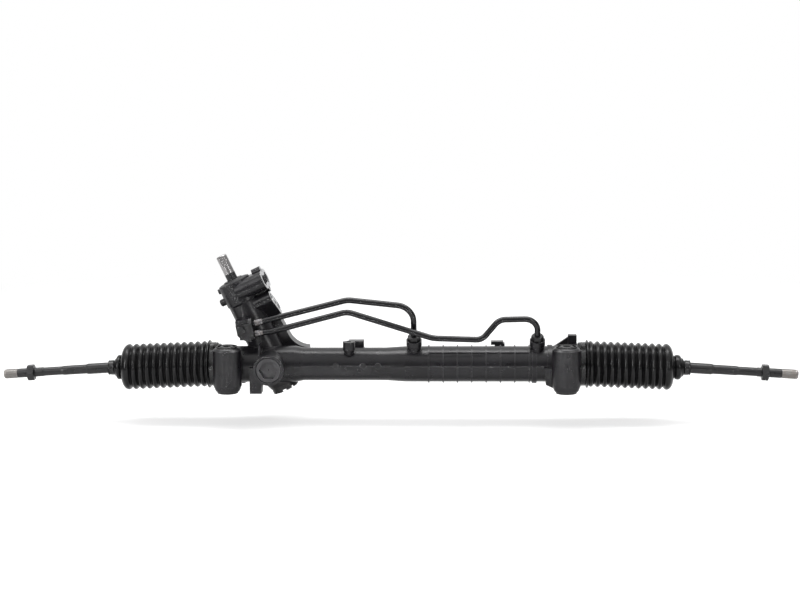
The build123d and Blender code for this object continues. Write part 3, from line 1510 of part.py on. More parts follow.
def write_rack_pieces():
    """The rack, its piston and the seals and bush that it runs in."""
    write("rack_bar", rack_bar())
    write("piston", piston())
    write("piston_ring", piston_ring())
    write("inner_rack_seal", inner_rack_seal())
    write("end_gland", end_gland())
    write("outer_rack_seal", outer_rack_seal())
    write("rack_bush", rack_bush())
    write("gland_circlip", gland_circlip())


def write_yoke_pieces():
    """The rack guide and what sets it."""
    write("yoke", yoke())
    write("yoke_o_ring", yoke_o_ring())
    write("yoke_spring", Compound(children=yoke_spring()))
    write("yoke_plug", yoke_plug())


def write_ends():
    """Ball joints, tie rods, nuts, boots and clamps on both sides."""
    for name, side in SIDES:
        write(f"{name}_ball_socket", ball_socket(side))
        write(f"{name}_socket_liner", socket_liner(side))
        write(f"{name}_tie_rod", tie_rod(side))
        write(f"{name}_jam_nut", jam_nut(side))
        write(f"{name}_boot", boot(side))
        write(f"{name}_boot_big_clamp", big_clamp(side))
        write(f"{name}_boot_small_clamp", small_clamp(side))


def write_pipes():
    """Fluid pipes, their nuts and bracket, and the hose ports' seats."""
    write("short_pipe", fluid_pipe(SHORT_ROUTE, SHORT_BENDS[: len(SHORT_ROUTE) - 2]))
    write("long_pipe", fluid_pipe(LONG_ROUTE, LONG_BENDS[: len(LONG_ROUTE) - 2]))
    write("pipe_nuts", Compound(children=pipe_nuts()))
    write("pipe_bracket", pipe_bracket())
    write("pipe_bracket_bolt", pipe_bracket_bolt())
    write("pressure_port_seat", port_seat(PRESSURE_SIDE, PRESSURE_LEVEL, PRESSURE_PORT_R))
    write("return_port_seat", port_seat(RETURN_SIDE, RETURN_LEVEL, RETURN_PORT_R))


os.makedirs("parts", exist_ok=True)
write("rack_housing", rack_housing())
write_bushes()
write_yoke_pieces()
write_tower_pieces()
write_rack_pieces()
write_ends()
write_pipes()
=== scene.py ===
import json
import logging
import math
from contextlib import contextmanager
from dataclasses import dataclass
from enum import Enum
from typing import Iterable, Iterator, Optional, Sequence, Union

import bpy
from mathutils import Matrix, Vector


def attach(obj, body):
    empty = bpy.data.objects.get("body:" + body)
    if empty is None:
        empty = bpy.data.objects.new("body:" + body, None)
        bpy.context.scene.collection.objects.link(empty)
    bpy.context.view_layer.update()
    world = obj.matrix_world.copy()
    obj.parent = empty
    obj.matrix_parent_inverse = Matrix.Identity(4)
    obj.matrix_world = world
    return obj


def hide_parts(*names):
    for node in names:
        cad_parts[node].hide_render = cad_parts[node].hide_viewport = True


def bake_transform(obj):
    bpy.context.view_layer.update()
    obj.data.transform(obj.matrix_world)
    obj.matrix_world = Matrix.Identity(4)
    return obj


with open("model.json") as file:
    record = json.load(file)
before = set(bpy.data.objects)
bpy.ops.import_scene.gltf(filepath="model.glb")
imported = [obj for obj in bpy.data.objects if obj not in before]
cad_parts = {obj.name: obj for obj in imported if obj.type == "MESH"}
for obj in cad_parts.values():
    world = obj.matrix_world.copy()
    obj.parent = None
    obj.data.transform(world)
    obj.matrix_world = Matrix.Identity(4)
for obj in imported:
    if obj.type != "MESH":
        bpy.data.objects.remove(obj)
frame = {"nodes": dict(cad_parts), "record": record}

LOG = logging.getLogger("steering_rack")
MM = 0.001
NOISE_RANGE = (0.3, 0.7)  # where most values of a noise lie
Colour = tuple[float, float, float]
Piece = bpy.types.Object
Material = bpy.types.Material
Wire = bpy.types.NodeSocket
Socket = Union[Wire, float, Sequence[float]]


# ---- layout of the object
@dataclass(frozen=True)
class Layout:
    """Where the main axes of the steering rack lie, in metres."""

    rack_y: float = 40.0 * MM
    rack_z: float = 35.5 * MM
    ball_x: float = 340.5 * MM
    rod_droop: float = math.radians(3.6)
    rod_length: float = 253.5 * MM
    pinion_x: float = -188.0 * MM
    pinion_y: float = 55.424 * MM
    pinion_tilt: float = math.radians(25.0)

    def tower_out(self) -> Vector:
        """Unit vector out of the flange face, square to the pinion's axis."""
        return Vector((math.cos(self.pinion_tilt), 0.0, math.sin(self.pinion_tilt)))

    def tower_up(self) -> Vector:
        """Unit vector up along the pinion's axis."""
        return Vector((-math.sin(self.pinion_tilt), 0.0, math.cos(self.pinion_tilt)))

    def tower(self, out: float, side: float, level: float) -> Vector:
        """Point given in the tower's own directions, in millimetres.

        Args:
            out: distance from the pinion's axis towards the flange.
            side: distance towards the back of the rack.
            level: distance along the pinion's axis from the rack's level.

        Returns:
            The point in the row frame, in metres.
        """
        foot = Vector((self.pinion_x, self.pinion_y, self.rack_z))
        across = self.tower_out() * out + Vector((0.0, side, 0.0)) + self.tower_up() * level
        return foot + across * MM

    def rod_direction(self, side: int) -> Vector:
        """Unit vector outwards along a tie rod."""
        return Vector((side * math.cos(self.rod_droop), 0.0, -math.sin(self.rod_droop)))

    def rod_point(self, side: int, reach: float) -> Vector:
        """Point on a tie rod's axis.

        Args:
            side: -1 for the left rod and 1 for the right one.
            reach: distance from the ball's centre, in metres.

        Returns:
            The point in the row frame, in metres.
        """
        ball = Vector((side * self.ball_x, self.rack_y, self.rack_z))
        return ball + self.rod_direction(side) * reach

    def rod_height(self, distance: float) -> float:
        """Height of a tie rod's axis at a distance from the middle of the rack."""
        return self.rack_z - (distance - self.ball_x) * math.tan(self.rod_droop)


LAYOUT = Layout()

# Bores and faces of the pinion tower in its own directions, in millimetres:
# side and level of a bore, and how far out a machined face stands.
PRESSURE_PORT = (-9.1, 90.6)
RETURN_PORT = (10.4, 71.0)
CLAMP_HOLE = (0.0, 80.3)
FLANGE_LEVEL = 119.0
EAR_SIDE = 14.35
PORT_FACE = 42.7
FLANGE_FACE = 44.7

ROD_THREAD_PITCH = 1.5  # millimetres


class Side(Enum):
    """The two ends of the rack."""

    LEFT = -1
    RIGHT = 1

    @property
    def label(self) -> str:
        """Name used in node and piece names."""
        return self.name.lower()

    @property
    def rod_body(self) -> str:
        """Body that this end's tie rod belongs to."""
        return f"{self.label}_rod"

    @property
    def outwards(self) -> Vector:
        """Unit vector away from the middle of the rack."""
        return Vector((float(self.value), 0.0, 0.0))

    @property
    def bare_tip(self) -> float:
        """Length of the unpainted end of this end's tie rod, in millimetres."""
        return 20.5 if self is Side.LEFT else 24.0


# ---- node trees
class Graph:
    """A node tree being wired."""

    def __init__(self, tree: bpy.types.NodeTree, coordinates: str = "Object") -> None:
        """Empties the tree and finds the place on the surface.

        Args:
            tree: the tree to build in.
            coordinates: output of Texture Coordinate that gives the place.
        """
        self.tree = tree
        self.tree.nodes.clear()
        self.place = self.add("ShaderNodeTexCoord").outputs[coordinates]

    def put(self, target: Wire, value: Socket) -> None:
        """Links a socket, or sets its constant.

        Args:
            target: the input socket.
            value: an output socket, or a number, vector or colour.
        """
        if isinstance(value, Wire):
            self.tree.links.new(value, target)
        elif target.type == "RGBA":
            target.default_value = (*value, 1.0)
        else:
            target.default_value = value

    def add(self, kind: str, settings: Optional[dict[str, object]] = None, *values: Socket,
            **inputs: Socket) -> bpy.types.Node:
        """Adds a node.

        Args:
            kind: the node's type name.
            settings: properties to set on the node.
            *values: what goes into its first inputs, in order.
            **inputs: what goes into inputs by name, with spaces written as underscores.

        Returns:
            The new node.
        """
        node = self.tree.nodes.new(kind)
        for key, value in (settings or {}).items():
            setattr(node, key, value)
        for target, value in zip(node.inputs, values):
            self.put(target, value)
        for key, value in inputs.items():
            self.put(node.inputs[key.replace("_", " ")], value)
        return node

    def calc(self, operation: str, *values: Socket) -> Wire:
        """Result of a Math node."""
        return self.add("ShaderNodeMath", {"operation": operation}, *values).outputs[0]

    def vector(self, operation: str, *values: Socket) -> bpy.types.Node:
        """A Vector Math node."""
        return self.add("ShaderNodeVectorMath", {"operation": operation}, *values)

    def offset(self, origin: Vector) -> Wire:
        """Vector from an origin to the place on the surface."""
        return self.vector("SUBTRACT", self.place, tuple(origin)).outputs[0]

    def along(self, value: Socket, axis: Vector) -> Wire:
        """Size of a vector along an axis."""
        return self.vector("DOT_PRODUCT", value, tuple(axis)).outputs["Value"]

    def length(self, value: Socket) -> Wire:
        """Length of a vector."""
        return self.vector("LENGTH", value).outputs["Value"]

    def noise(self, scale: float, detail: float = 3.0, rough: float = 0.55,
              place: Optional[Socket] = None) -> Wire:
        """Noise, mostly within NOISE_RANGE.

        Args:
            scale: cycles per metre.
            detail: how many octaves.
            rough: how strong the finer octaves are.
            place: where it is read, if not at the place on the surface.

        Returns:
            The value's socket.
        """
        node = self.add("ShaderNodeTexNoise", Vector=place or self.place, Scale=scale,
                        Detail=detail, Roughness=rough)
        return node.outputs["Fac"]

    def cells(self, scale: float) -> Wire:
        """Distance from the nearest of scattered points, which lie scale to the metre."""
        node = self.add("ShaderNodeTexVoronoi", Vector=self.place, Scale=scale)
        return node.outputs["Distance"]

    def fit(self, value: Socket, low: float, high: float, start: float = 0.0,
            end: float = 1.0, smooth: bool = False) -> Wire:
        """Maps one range to another.

        Args:
            value: the value to map.
            low: value that gives start.
            high: value that gives end.
            start: result at low and below it.
            end: result at high and above it.
            smooth: whether the step between them has soft ends.

        Returns:
            The mapped value.
        """
        settings = {"interpolation_type": "SMOOTHSTEP" if smooth else "LINEAR", "clamp": True}
        node = self.add("ShaderNodeMapRange", settings, Value=value, From_Min=low,
                        From_Max=high, To_Min=start, To_Max=end)
        return node.outputs["Result"]

    def mix(self, kind: str, start: int, share: Socket, first: Socket,
            second: Socket) -> bpy.types.Node:
        """A Mix node.

        Args:
            kind: data type of what is mixed.
            start: number of that type's first input.
            share: how much of the second.
            first: result at 0.
            second: result at 1.

        Returns:
            The new node.
        """
        node = self.add("ShaderNodeMix", {"data_type": kind}, share)
        self.put(node.inputs[start], first)
        self.put(node.inputs[start + 1], second)
        return node

    def blend(self, share: Socket, first: Socket, second: Socket) -> Wire:
        """Mix of two colours."""
        return self.mix("RGBA", 6, share, first, second).outputs[2]

    def choose(self, share: Socket, first: Socket, second: Socket) -> Wire:
        """Mix of two numbers."""
        return self.mix("FLOAT", 2, share, first, second).outputs[0]

    def bump(self, height: Socket, depth: float, under: Optional[Socket] = None) -> Wire:
        """Normal of a relief.

        Args:
            height: the relief, from 0 to 1.
            depth: how deep 1 is, in metres.
            under: normal that the relief lies on.

        Returns:
            The normal's socket.
        """
        node = self.add("ShaderNodeBump", Height=height, Distance=depth, Strength=1.0)
        if under is not None:
            self.put(node.inputs["Normal"], under)
        return node.outputs["Normal"]

    def soft_edges(self, radius: float) -> Wire:
        """Normal that rounds the corners of the mesh."""
        return self.add("ShaderNodeBevel", {"samples": 4}, Radius=radius).outputs["Normal"]

    def edges(self, radius: float, low: float, high: float) -> Wire:
        """Mask of the corners, from the angle between the rounded and the flat normal.

        Args:
            radius: reach of the corner to each side.
            low: difference at which the mask starts.
            high: difference at which it is full.

        Returns:
            0 on open faces, 1 on corners.
        """
        flat = self.add("ShaderNodeNewGeometry").outputs["Normal"]
        facing = self.vector("DOT_PRODUCT", self.soft_edges(radius), flat).outputs["Value"]
        return self.fit(self.calc("SUBTRACT", 1.0, facing), low, high)

    def glow(self, strength: Socket) -> Wire:
        """White light given off by the surface."""
        node = self.add("ShaderNodeEmission", Color=(1.0, 1.0, 1.0), Strength=strength)
        return node.outputs[0]


class Surface(Graph):
    """Node tree of one material, with a Principled shader on its output."""

    def __init__(self, name: str) -> None:
        """Makes the material and its shader.

        Args:
            name: the material's name.
        """
        self.material = bpy.data.materials.new(name)
        self.material.use_nodes = True
        super().__init__(self.material.node_tree)
        self.shader = self.add("ShaderNodeBsdfPrincipled")
        self.output = self.add("ShaderNodeOutputMaterial", Surface=self.shader.outputs["BSDF"])

    def finish(self, colour: Socket, roughness: Socket, normal: Optional[Socket] = None,
               metallic: Socket = 0.0, specular: float = 0.5) -> Material:
        """Sets the shader's sockets.

        Args:
            colour: base colour.
            roughness: roughness.
            normal: surface normal, if it has relief.
            metallic: 0 for paint, rubber and plastic, 1 for metal.
            specular: specular level.

        Returns:
            The finished material.
        """
        self.put(self.shader.inputs["Base Color"], colour)
        self.put(self.shader.inputs["Roughness"], roughness)
        self.put(self.shader.inputs["Metallic"], metallic)
        self.put(self.shader.inputs["Specular IOR Level"], specular)
        if normal is not None:
            self.put(self.shader.inputs["Normal"], normal)
        return self.material


@dataclass(frozen=True)
class Beyond:
    """Part of a surface past a plane."""

    origin: Vector
    direction: Vector
    reach: float = 2.0
    edge: float = 0.3 * MM

    def mask(self, graph: Graph) -> Wire:
        """Mask of the part.

        Args:
            graph: the tree to build in.

        Returns:
            1 past the plane, within reach of the origin, and 0 elsewhere.
        """
        offset = graph.offset(self.origin)
        past = graph.fit(graph.along(offset, self.direction), 0.0, self.edge, smooth=True)
        near = graph.calc("LESS_THAN", graph.length(offset), self.reach)
        return graph.calc("MULTIPLY", past, near)


@dataclass(frozen=True)
class Within:
    """Part of a surface inside a round bore or on a shaft."""

    origin: Vector
    axis: Vector
    radius: float
    start: float
    end: float

    def mask(self, graph: Graph) -> Wire:
        """Mask of the part.

        Args:
            graph: the tree to build in.

        Returns:
            1 inside the cylinder and 0 outside it.
        """
        offset = graph.offset(self.origin)
        across = graph.vector("CROSS_PRODUCT", offset, tuple(self.axis)).outputs[0]
        along = graph.along(offset, self.axis)
        inside = graph.calc("LESS_THAN", graph.length(across), self.radius)
        above = graph.calc("GREATER_THAN", along, self.start)
        below = graph.calc("LESS_THAN", along, self.end)
        return graph.calc("MULTIPLY", inside, graph.calc("MULTIPLY", above, below))


Zone = Union[Beyond, Within]


def any_of(graph: Graph, zones: Iterable[Zone]) -> Wire:
    """1 wherever one of the zones is.

    Args:
        graph: the tree to build in.
        zones: at least one zone.

    Returns:
        The joined mask.
    """
    total = None
    for zone in zones:
        mask = zone.mask(graph)
        total = mask if total is None else graph.calc("MAXIMUM", total, mask)
    return total


def scaled(colour: Colour, factor: float) -> Colour:
    """A colour made darker or lighter."""
    return tuple(part * factor for part in colour)


# ---- finishes
@dataclass(frozen=True)
class CastPaint:
    """Satin black paint over a sand-rough aluminium casting, bare where it is machined, and lighter
    on its corners as a painted highlight.
    """

    name: str = "cast_black_paint"
    dark: Colour = (0.0055, 0.005, 0.0064)
    light: Colour = (0.0115, 0.0108, 0.0132)
    # painted highlight: lighter paint laid on the casting's corners and ribs
    corner_highlight: Colour = (0.06, 0.058, 0.062)
    bare: Colour = (0.62, 0.62, 0.63)
    grain: float = 0.055 * MM
    machined: tuple[Zone, ...] = ()

    def make(self) -> Material:
        """Builds the material.

        Returns:
            The material.
        """
        graph = Surface(self.name)
        cloud = graph.noise(34.0, 4.0)
        paint = graph.blend(graph.fit(cloud, 0.35, 0.7), self.dark, self.light)
        peel = graph.noise(620.0, 3.0, 0.6)
        pits = graph.fit(graph.cells(260.0), 0.02, 0.16)
        skin = graph.calc("ADD", graph.calc("MULTIPLY", peel, 0.8),
                          graph.calc("MULTIPLY", pits, 0.25))
        gloss = graph.fit(graph.noise(90.0, 5.0), *NOISE_RANGE, 0.26, 0.36)
        mask = any_of(graph, self.machined)
        tool = graph.noise(900.0, 1.0, 0.4)
        metal = graph.blend(graph.fit(tool, *NOISE_RANGE), self.bare, scaled(self.bare, 0.72))
        relief = graph.bump(skin, self.grain, graph.soft_edges(0.25 * MM))
        # corners and ribs lightened as a painted highlight, varied by the cloud noise
        corner_highlight_mask = graph.calc("MULTIPLY", graph.edges(1.1 * MM, 0.008, 0.11),
                          graph.fit(cloud, 0.3, 0.6, 0.45, 1.0))
        paint = graph.blend(corner_highlight_mask, paint, self.corner_highlight)
        colour = graph.blend(mask, paint, metal)
        rough = graph.choose(mask, gloss, graph.fit(tool, *NOISE_RANGE, 0.28, 0.42))
        return graph.finish(colour, rough, relief, metallic=mask, specular=0.45)


@dataclass(frozen=True)
class SatinPaint:
    """Smooth black paint on steel, with bare steel in its zones."""

    name: str
    dark: Colour = (0.0055, 0.0055, 0.0065)
    light: Colour = (0.0115, 0.011, 0.0118)
    gloss: tuple[float, float] = (0.3, 0.42)
    peel: float = 0.05 * MM
    bare: tuple[Zone, ...] = ()
    steel: Colour = (0.3, 0.29, 0.28)
    stain: Colour = (0.2, 0.17, 0.15)

    def make(self) -> Material:
        """Builds the material.

        Returns:
            The material.
        """
        graph = Surface(self.name)
        cloud = graph.noise(60.0, 4.0)
        paint = graph.blend(graph.fit(cloud, 0.35, 0.68), self.dark, self.light)
        skin = graph.noise(750.0, 2.0)
        rough = graph.fit(graph.noise(140.0, 4.0), *NOISE_RANGE, *self.gloss)
        relief = graph.bump(skin, self.peel, graph.soft_edges(0.35 * MM))
        if not self.bare:
            return graph.finish(paint, rough, relief)
        mask = any_of(graph, self.bare)
        blotch = graph.noise(210.0, 5.0, 0.7)
        metal = graph.blend(graph.fit(blotch, 0.4, 0.75), self.steel, self.stain)
        colour = graph.blend(mask, paint, metal)
        rough = graph.choose(mask, rough, graph.fit(blotch, *NOISE_RANGE, 0.25, 0.5))
        return graph.finish(colour, rough, relief, metallic=mask)


@dataclass(frozen=True)
class TurnedMetal:
    """Bare metal turned or ground round an axis, with faint rings and handling marks."""

    name: str
    colour: Colour = (0.44, 0.43, 0.43)
    origin: Vector = Vector((0.0, 0.0, 0.0))
    axis: Vector = Vector((1.0, 0.0, 0.0))
    pitch: float = 0.45 * MM
    gloss: tuple[float, float] = (0.2, 0.36)
    stain: Colour = (0.22, 0.19, 0.17)
    stained: float = 0.62
    painted: tuple[Zone, ...] = ()
    paint: Colour = (0.014, 0.014, 0.015)

    def make(self) -> Material:
        """Builds the material.

        Returns:
            The material.
        """
        graph = Surface(self.name)
        along = graph.along(graph.offset(self.origin), self.axis)
        rings = graph.add("ShaderNodeCombineXYZ", X=graph.calc("DIVIDE", along, self.pitch))
        turned = graph.noise(1.0, 3.0, 0.6, rings.outputs[0])
        blotch = graph.noise(170.0, 5.0, 0.65)
        shade = graph.blend(graph.fit(turned, *NOISE_RANGE), self.colour,
                            scaled(self.colour, 0.78))
        spots = graph.fit(blotch, self.stained, self.stained + 0.16)
        metal = graph.blend(spots, shade, self.stain)
        rough = graph.fit(graph.calc("ADD", turned, blotch), 0.7, 1.3, *self.gloss)
        relief = graph.bump(turned, 0.02 * MM, graph.soft_edges(0.25 * MM))
        if not self.painted:
            return graph.finish(metal, rough, relief, metallic=1.0)
        mask = any_of(graph, self.painted)
        colour = graph.blend(mask, metal, self.paint)
        rough = graph.choose(mask, rough, 0.4)
        bare = graph.calc("SUBTRACT", 1.0, mask)
        return graph.finish(colour, rough, relief, metallic=bare)


@dataclass(frozen=True)
class MouldedRubber:
    """Black rubber with a fine skin, bloom and the grain of its mould."""

    name: str
    dark: Colour = (0.0035, 0.0035, 0.004)
    bloom: Colour = (0.009, 0.0088, 0.009)
    gloss: tuple[float, float] = (0.17, 0.27)
    skin: float = 0.06 * MM

    def make(self) -> Material:
        """Builds the material.

        Returns:
            The material.
        """
        graph = Surface(self.name)
        dust = graph.noise(48.0, 5.0, 0.62)
        colour = graph.blend(graph.fit(dust, 0.42, 0.78), self.dark, self.bloom)
        fine = graph.noise(1500.0, 2.0, 0.5)
        spark = graph.noise(420.0, 3.0, 0.6)
        height = graph.calc("ADD", graph.calc("MULTIPLY", spark, 0.6), fine)
        relief = graph.bump(height, self.skin)
        rough = graph.fit(graph.noise(85.0, 4.0), *NOISE_RANGE, *self.gloss)
        return graph.finish(colour, rough, relief, specular=0.3)


@dataclass(frozen=True)
class MouldedPlastic:
    """Matt plastic with a spark-eroded grain."""

    name: str
    colour: Colour = (0.016, 0.016, 0.017)
    rough: float = 0.5

    def make(self) -> Material:
        """Builds the material.

        Returns:
            The material.
        """
        graph = Surface(self.name)
        shade = graph.blend(graph.fit(graph.noise(70.0), *NOISE_RANGE), self.colour,
                            scaled(self.colour, 1.5))
        grain = graph.noise(1300.0, 2.0)
        relief = graph.bump(grain, 0.05 * MM, graph.soft_edges(0.3 * MM))
        rough = graph.fit(grain, *NOISE_RANGE, self.rough - 0.06, self.rough + 0.1)
        return graph.finish(shade, rough, relief)


@dataclass(frozen=True)
class Phosphate:
    """Grey phosphated steel with a crystalline speckle."""

    name: str
    dull: Colour = (0.045, 0.044, 0.047)
    pale: Colour = (0.09, 0.088, 0.092)

    def make(self) -> Material:
        """Builds the material.

        Returns:
            The material.
        """
        graph = Surface(self.name)
        speck = graph.fit(graph.cells(900.0), 0.1, 0.7)
        wash = graph.noise(120.0, 4.0)
        colour = graph.blend(graph.calc("MULTIPLY", speck, wash), self.dull, self.pale)
        relief = graph.bump(speck, 0.03 * MM, graph.soft_edges(0.4 * MM))
        rough = graph.fit(wash, *NOISE_RANGE, 0.34, 0.5)
        return graph.finish(colour, rough, relief, metallic=0.35)


# ---- modelling helpers
def deselect() -> None:
    """Leaves edit mode and deselects every object."""
    if bpy.context.object and bpy.context.object.mode != "OBJECT":
        bpy.ops.object.mode_set(mode="OBJECT")
    bpy.ops.object.select_all(action="DESELECT")


def activate(piece: Piece) -> None:
    """Makes one object the only one selected, and active.

    Args:
        piece: the object.
    """
    deselect()
    piece.select_set(True)
    bpy.context.view_layer.objects.active = piece


def apply_all(piece: Piece) -> None:
    """Applies a piece's modifiers in order, and its place.

    Args:
        piece: the mesh object.
    """
    activate(piece)
    for modifier in list(piece.modifiers):
        bpy.ops.object.modifier_apply(modifier=modifier.name)
    bpy.ops.object.transform_apply(location=True, rotation=True, scale=True)


@contextmanager
def editing(everything: bool = True) -> Iterator[None]:
    """Edit mode on the active piece for as long as the block lasts.

    Args:
        everything: whether the whole mesh is selected first.

    Yields:
        Nothing.
    """
    bpy.ops.object.mode_set(mode="EDIT")
    if everything:
        bpy.ops.mesh.select_all(action="SELECT")
    yield
    bpy.ops.object.mode_set(mode="OBJECT")


def modify(piece: Piece, kind: str, **settings: object) -> None:
    """Adds a modifier.

    Args:
        piece: the mesh object.
        kind: the modifier's type name.
        **settings: properties to set on it.
    """
    modifier = piece.modifiers.new(kind.lower(), kind)
    for key, value in settings.items():
        setattr(modifier, key, value)


def clean(piece: Piece, smooth: float) -> None:
    """Merges doubles, points the faces outwards and shades smooth up to an angle.

    Args:
        piece: the mesh object.
        smooth: edges sharper than this many degrees stay sharp.
    """
    activate(piece)
    with editing():
        bpy.ops.mesh.remove_doubles(threshold=0.005 * MM)
        bpy.ops.mesh.normals_make_consistent(inside=False)
    bpy.ops.object.shade_smooth_by_angle(angle=math.radians(smooth))


def wear(piece: Piece, material: Material) -> None:
    """Gives a piece its only material."""
    piece.data.materials.clear()
    piece.data.materials.append(material)


def dress(piece: Piece, material: Material, body: str) -> None:
    """Gives a new piece its material and its body.

    Args:
        piece: the mesh object.
        material: its finish.
        body: the body it moves with.
    """
    wear(piece, material)
    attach(piece, body)
    LOG.info("piece %s on %s, %d faces", piece.name, body, len(piece.data.polygons))


@dataclass(frozen=True)
class Station:
    """One ring of a body of revolution."""

    along: float
    radius: float
    drop: float = 0.0


def ring_body(name: str, centre: Vector, direction: Vector, stations: Sequence[Station],
              segments: int = 64) -> Piece:
    """Open body of rings, drawn as a circle and extruded station by station.

    Args:
        name: the piece's name.
        centre: origin that the stations are measured from.
        direction: unit vector along the body.
        stations: at least two rings; drop moves a ring's centre down.
        segments: vertices round each ring.

    Returns:
        The mesh object, with its place in its mesh.
    """
    deselect()
    turn = direction.to_track_quat("Z", "Y")
    first = stations[0]

    def middle(station: Station) -> Vector:
        """Centre of a ring."""
        return centre + direction * station.along - Vector((0.0, 0.0, station.drop))

    bpy.ops.mesh.primitive_circle_add(vertices=segments, radius=first.radius,
                                      location=middle(first), rotation=turn.to_euler())
    piece = bpy.context.object
    piece.name = name
    bpy.ops.object.transform_apply(location=True, rotation=True, scale=True)
    with editing():
        for before, after in zip(stations, stations[1:]):
            step = middle(after) - middle(before)
            bpy.ops.mesh.extrude_region_move(TRANSFORM_OT_translate={"value": tuple(step)})
            scale = after.radius / before.radius
            if not math.isclose(scale, 1.0, abs_tol=1e-6):
                bpy.ops.transform.resize(value=(scale, scale, scale),
                                         center_override=tuple(middle(after)))
    return piece


def strip_body(name: str, start: Vector, width: Vector, steps: Sequence[Vector],
               sheet: float) -> Piece:
    """Bent strip of sheet metal, drawn as one edge and extruded step by step.

    Args:
        name: the piece's name.
        start: middle of the first edge.
        width: vector along the edge, as long as the strip is wide.
        steps: offset of each bend from the one before.
        sheet: thickness of the metal.

    Returns:
        The mesh object, with its place in its mesh.
    """
    deselect()
    bpy.ops.mesh.primitive_plane_add(size=1.0, location=(0.0, 0.0, 0.0))
    piece = bpy.context.object
    piece.name = name
    with editing():
        bpy.ops.mesh.delete(type="ONLY_FACE")
        bpy.ops.mesh.select_all(action="DESELECT")
    for vertex in piece.data.vertices[2:]:
        vertex.select = True
    with editing(everything=False):
        bpy.ops.mesh.delete(type="VERT")
    piece.data.vertices[0].co = start - width / 2
    piece.data.vertices[1].co = start + width / 2
    with editing():
        for step in steps:
            bpy.ops.mesh.extrude_region_move(TRANSFORM_OT_translate={"value": tuple(step)})
    modify(piece, "SOLIDIFY", thickness=sheet, offset=0.0)
    modify(piece, "BEVEL", width=sheet * 0.35, segments=2, limit_method="ANGLE",
           angle_limit=math.radians(50))
    apply_all(piece)
    return piece


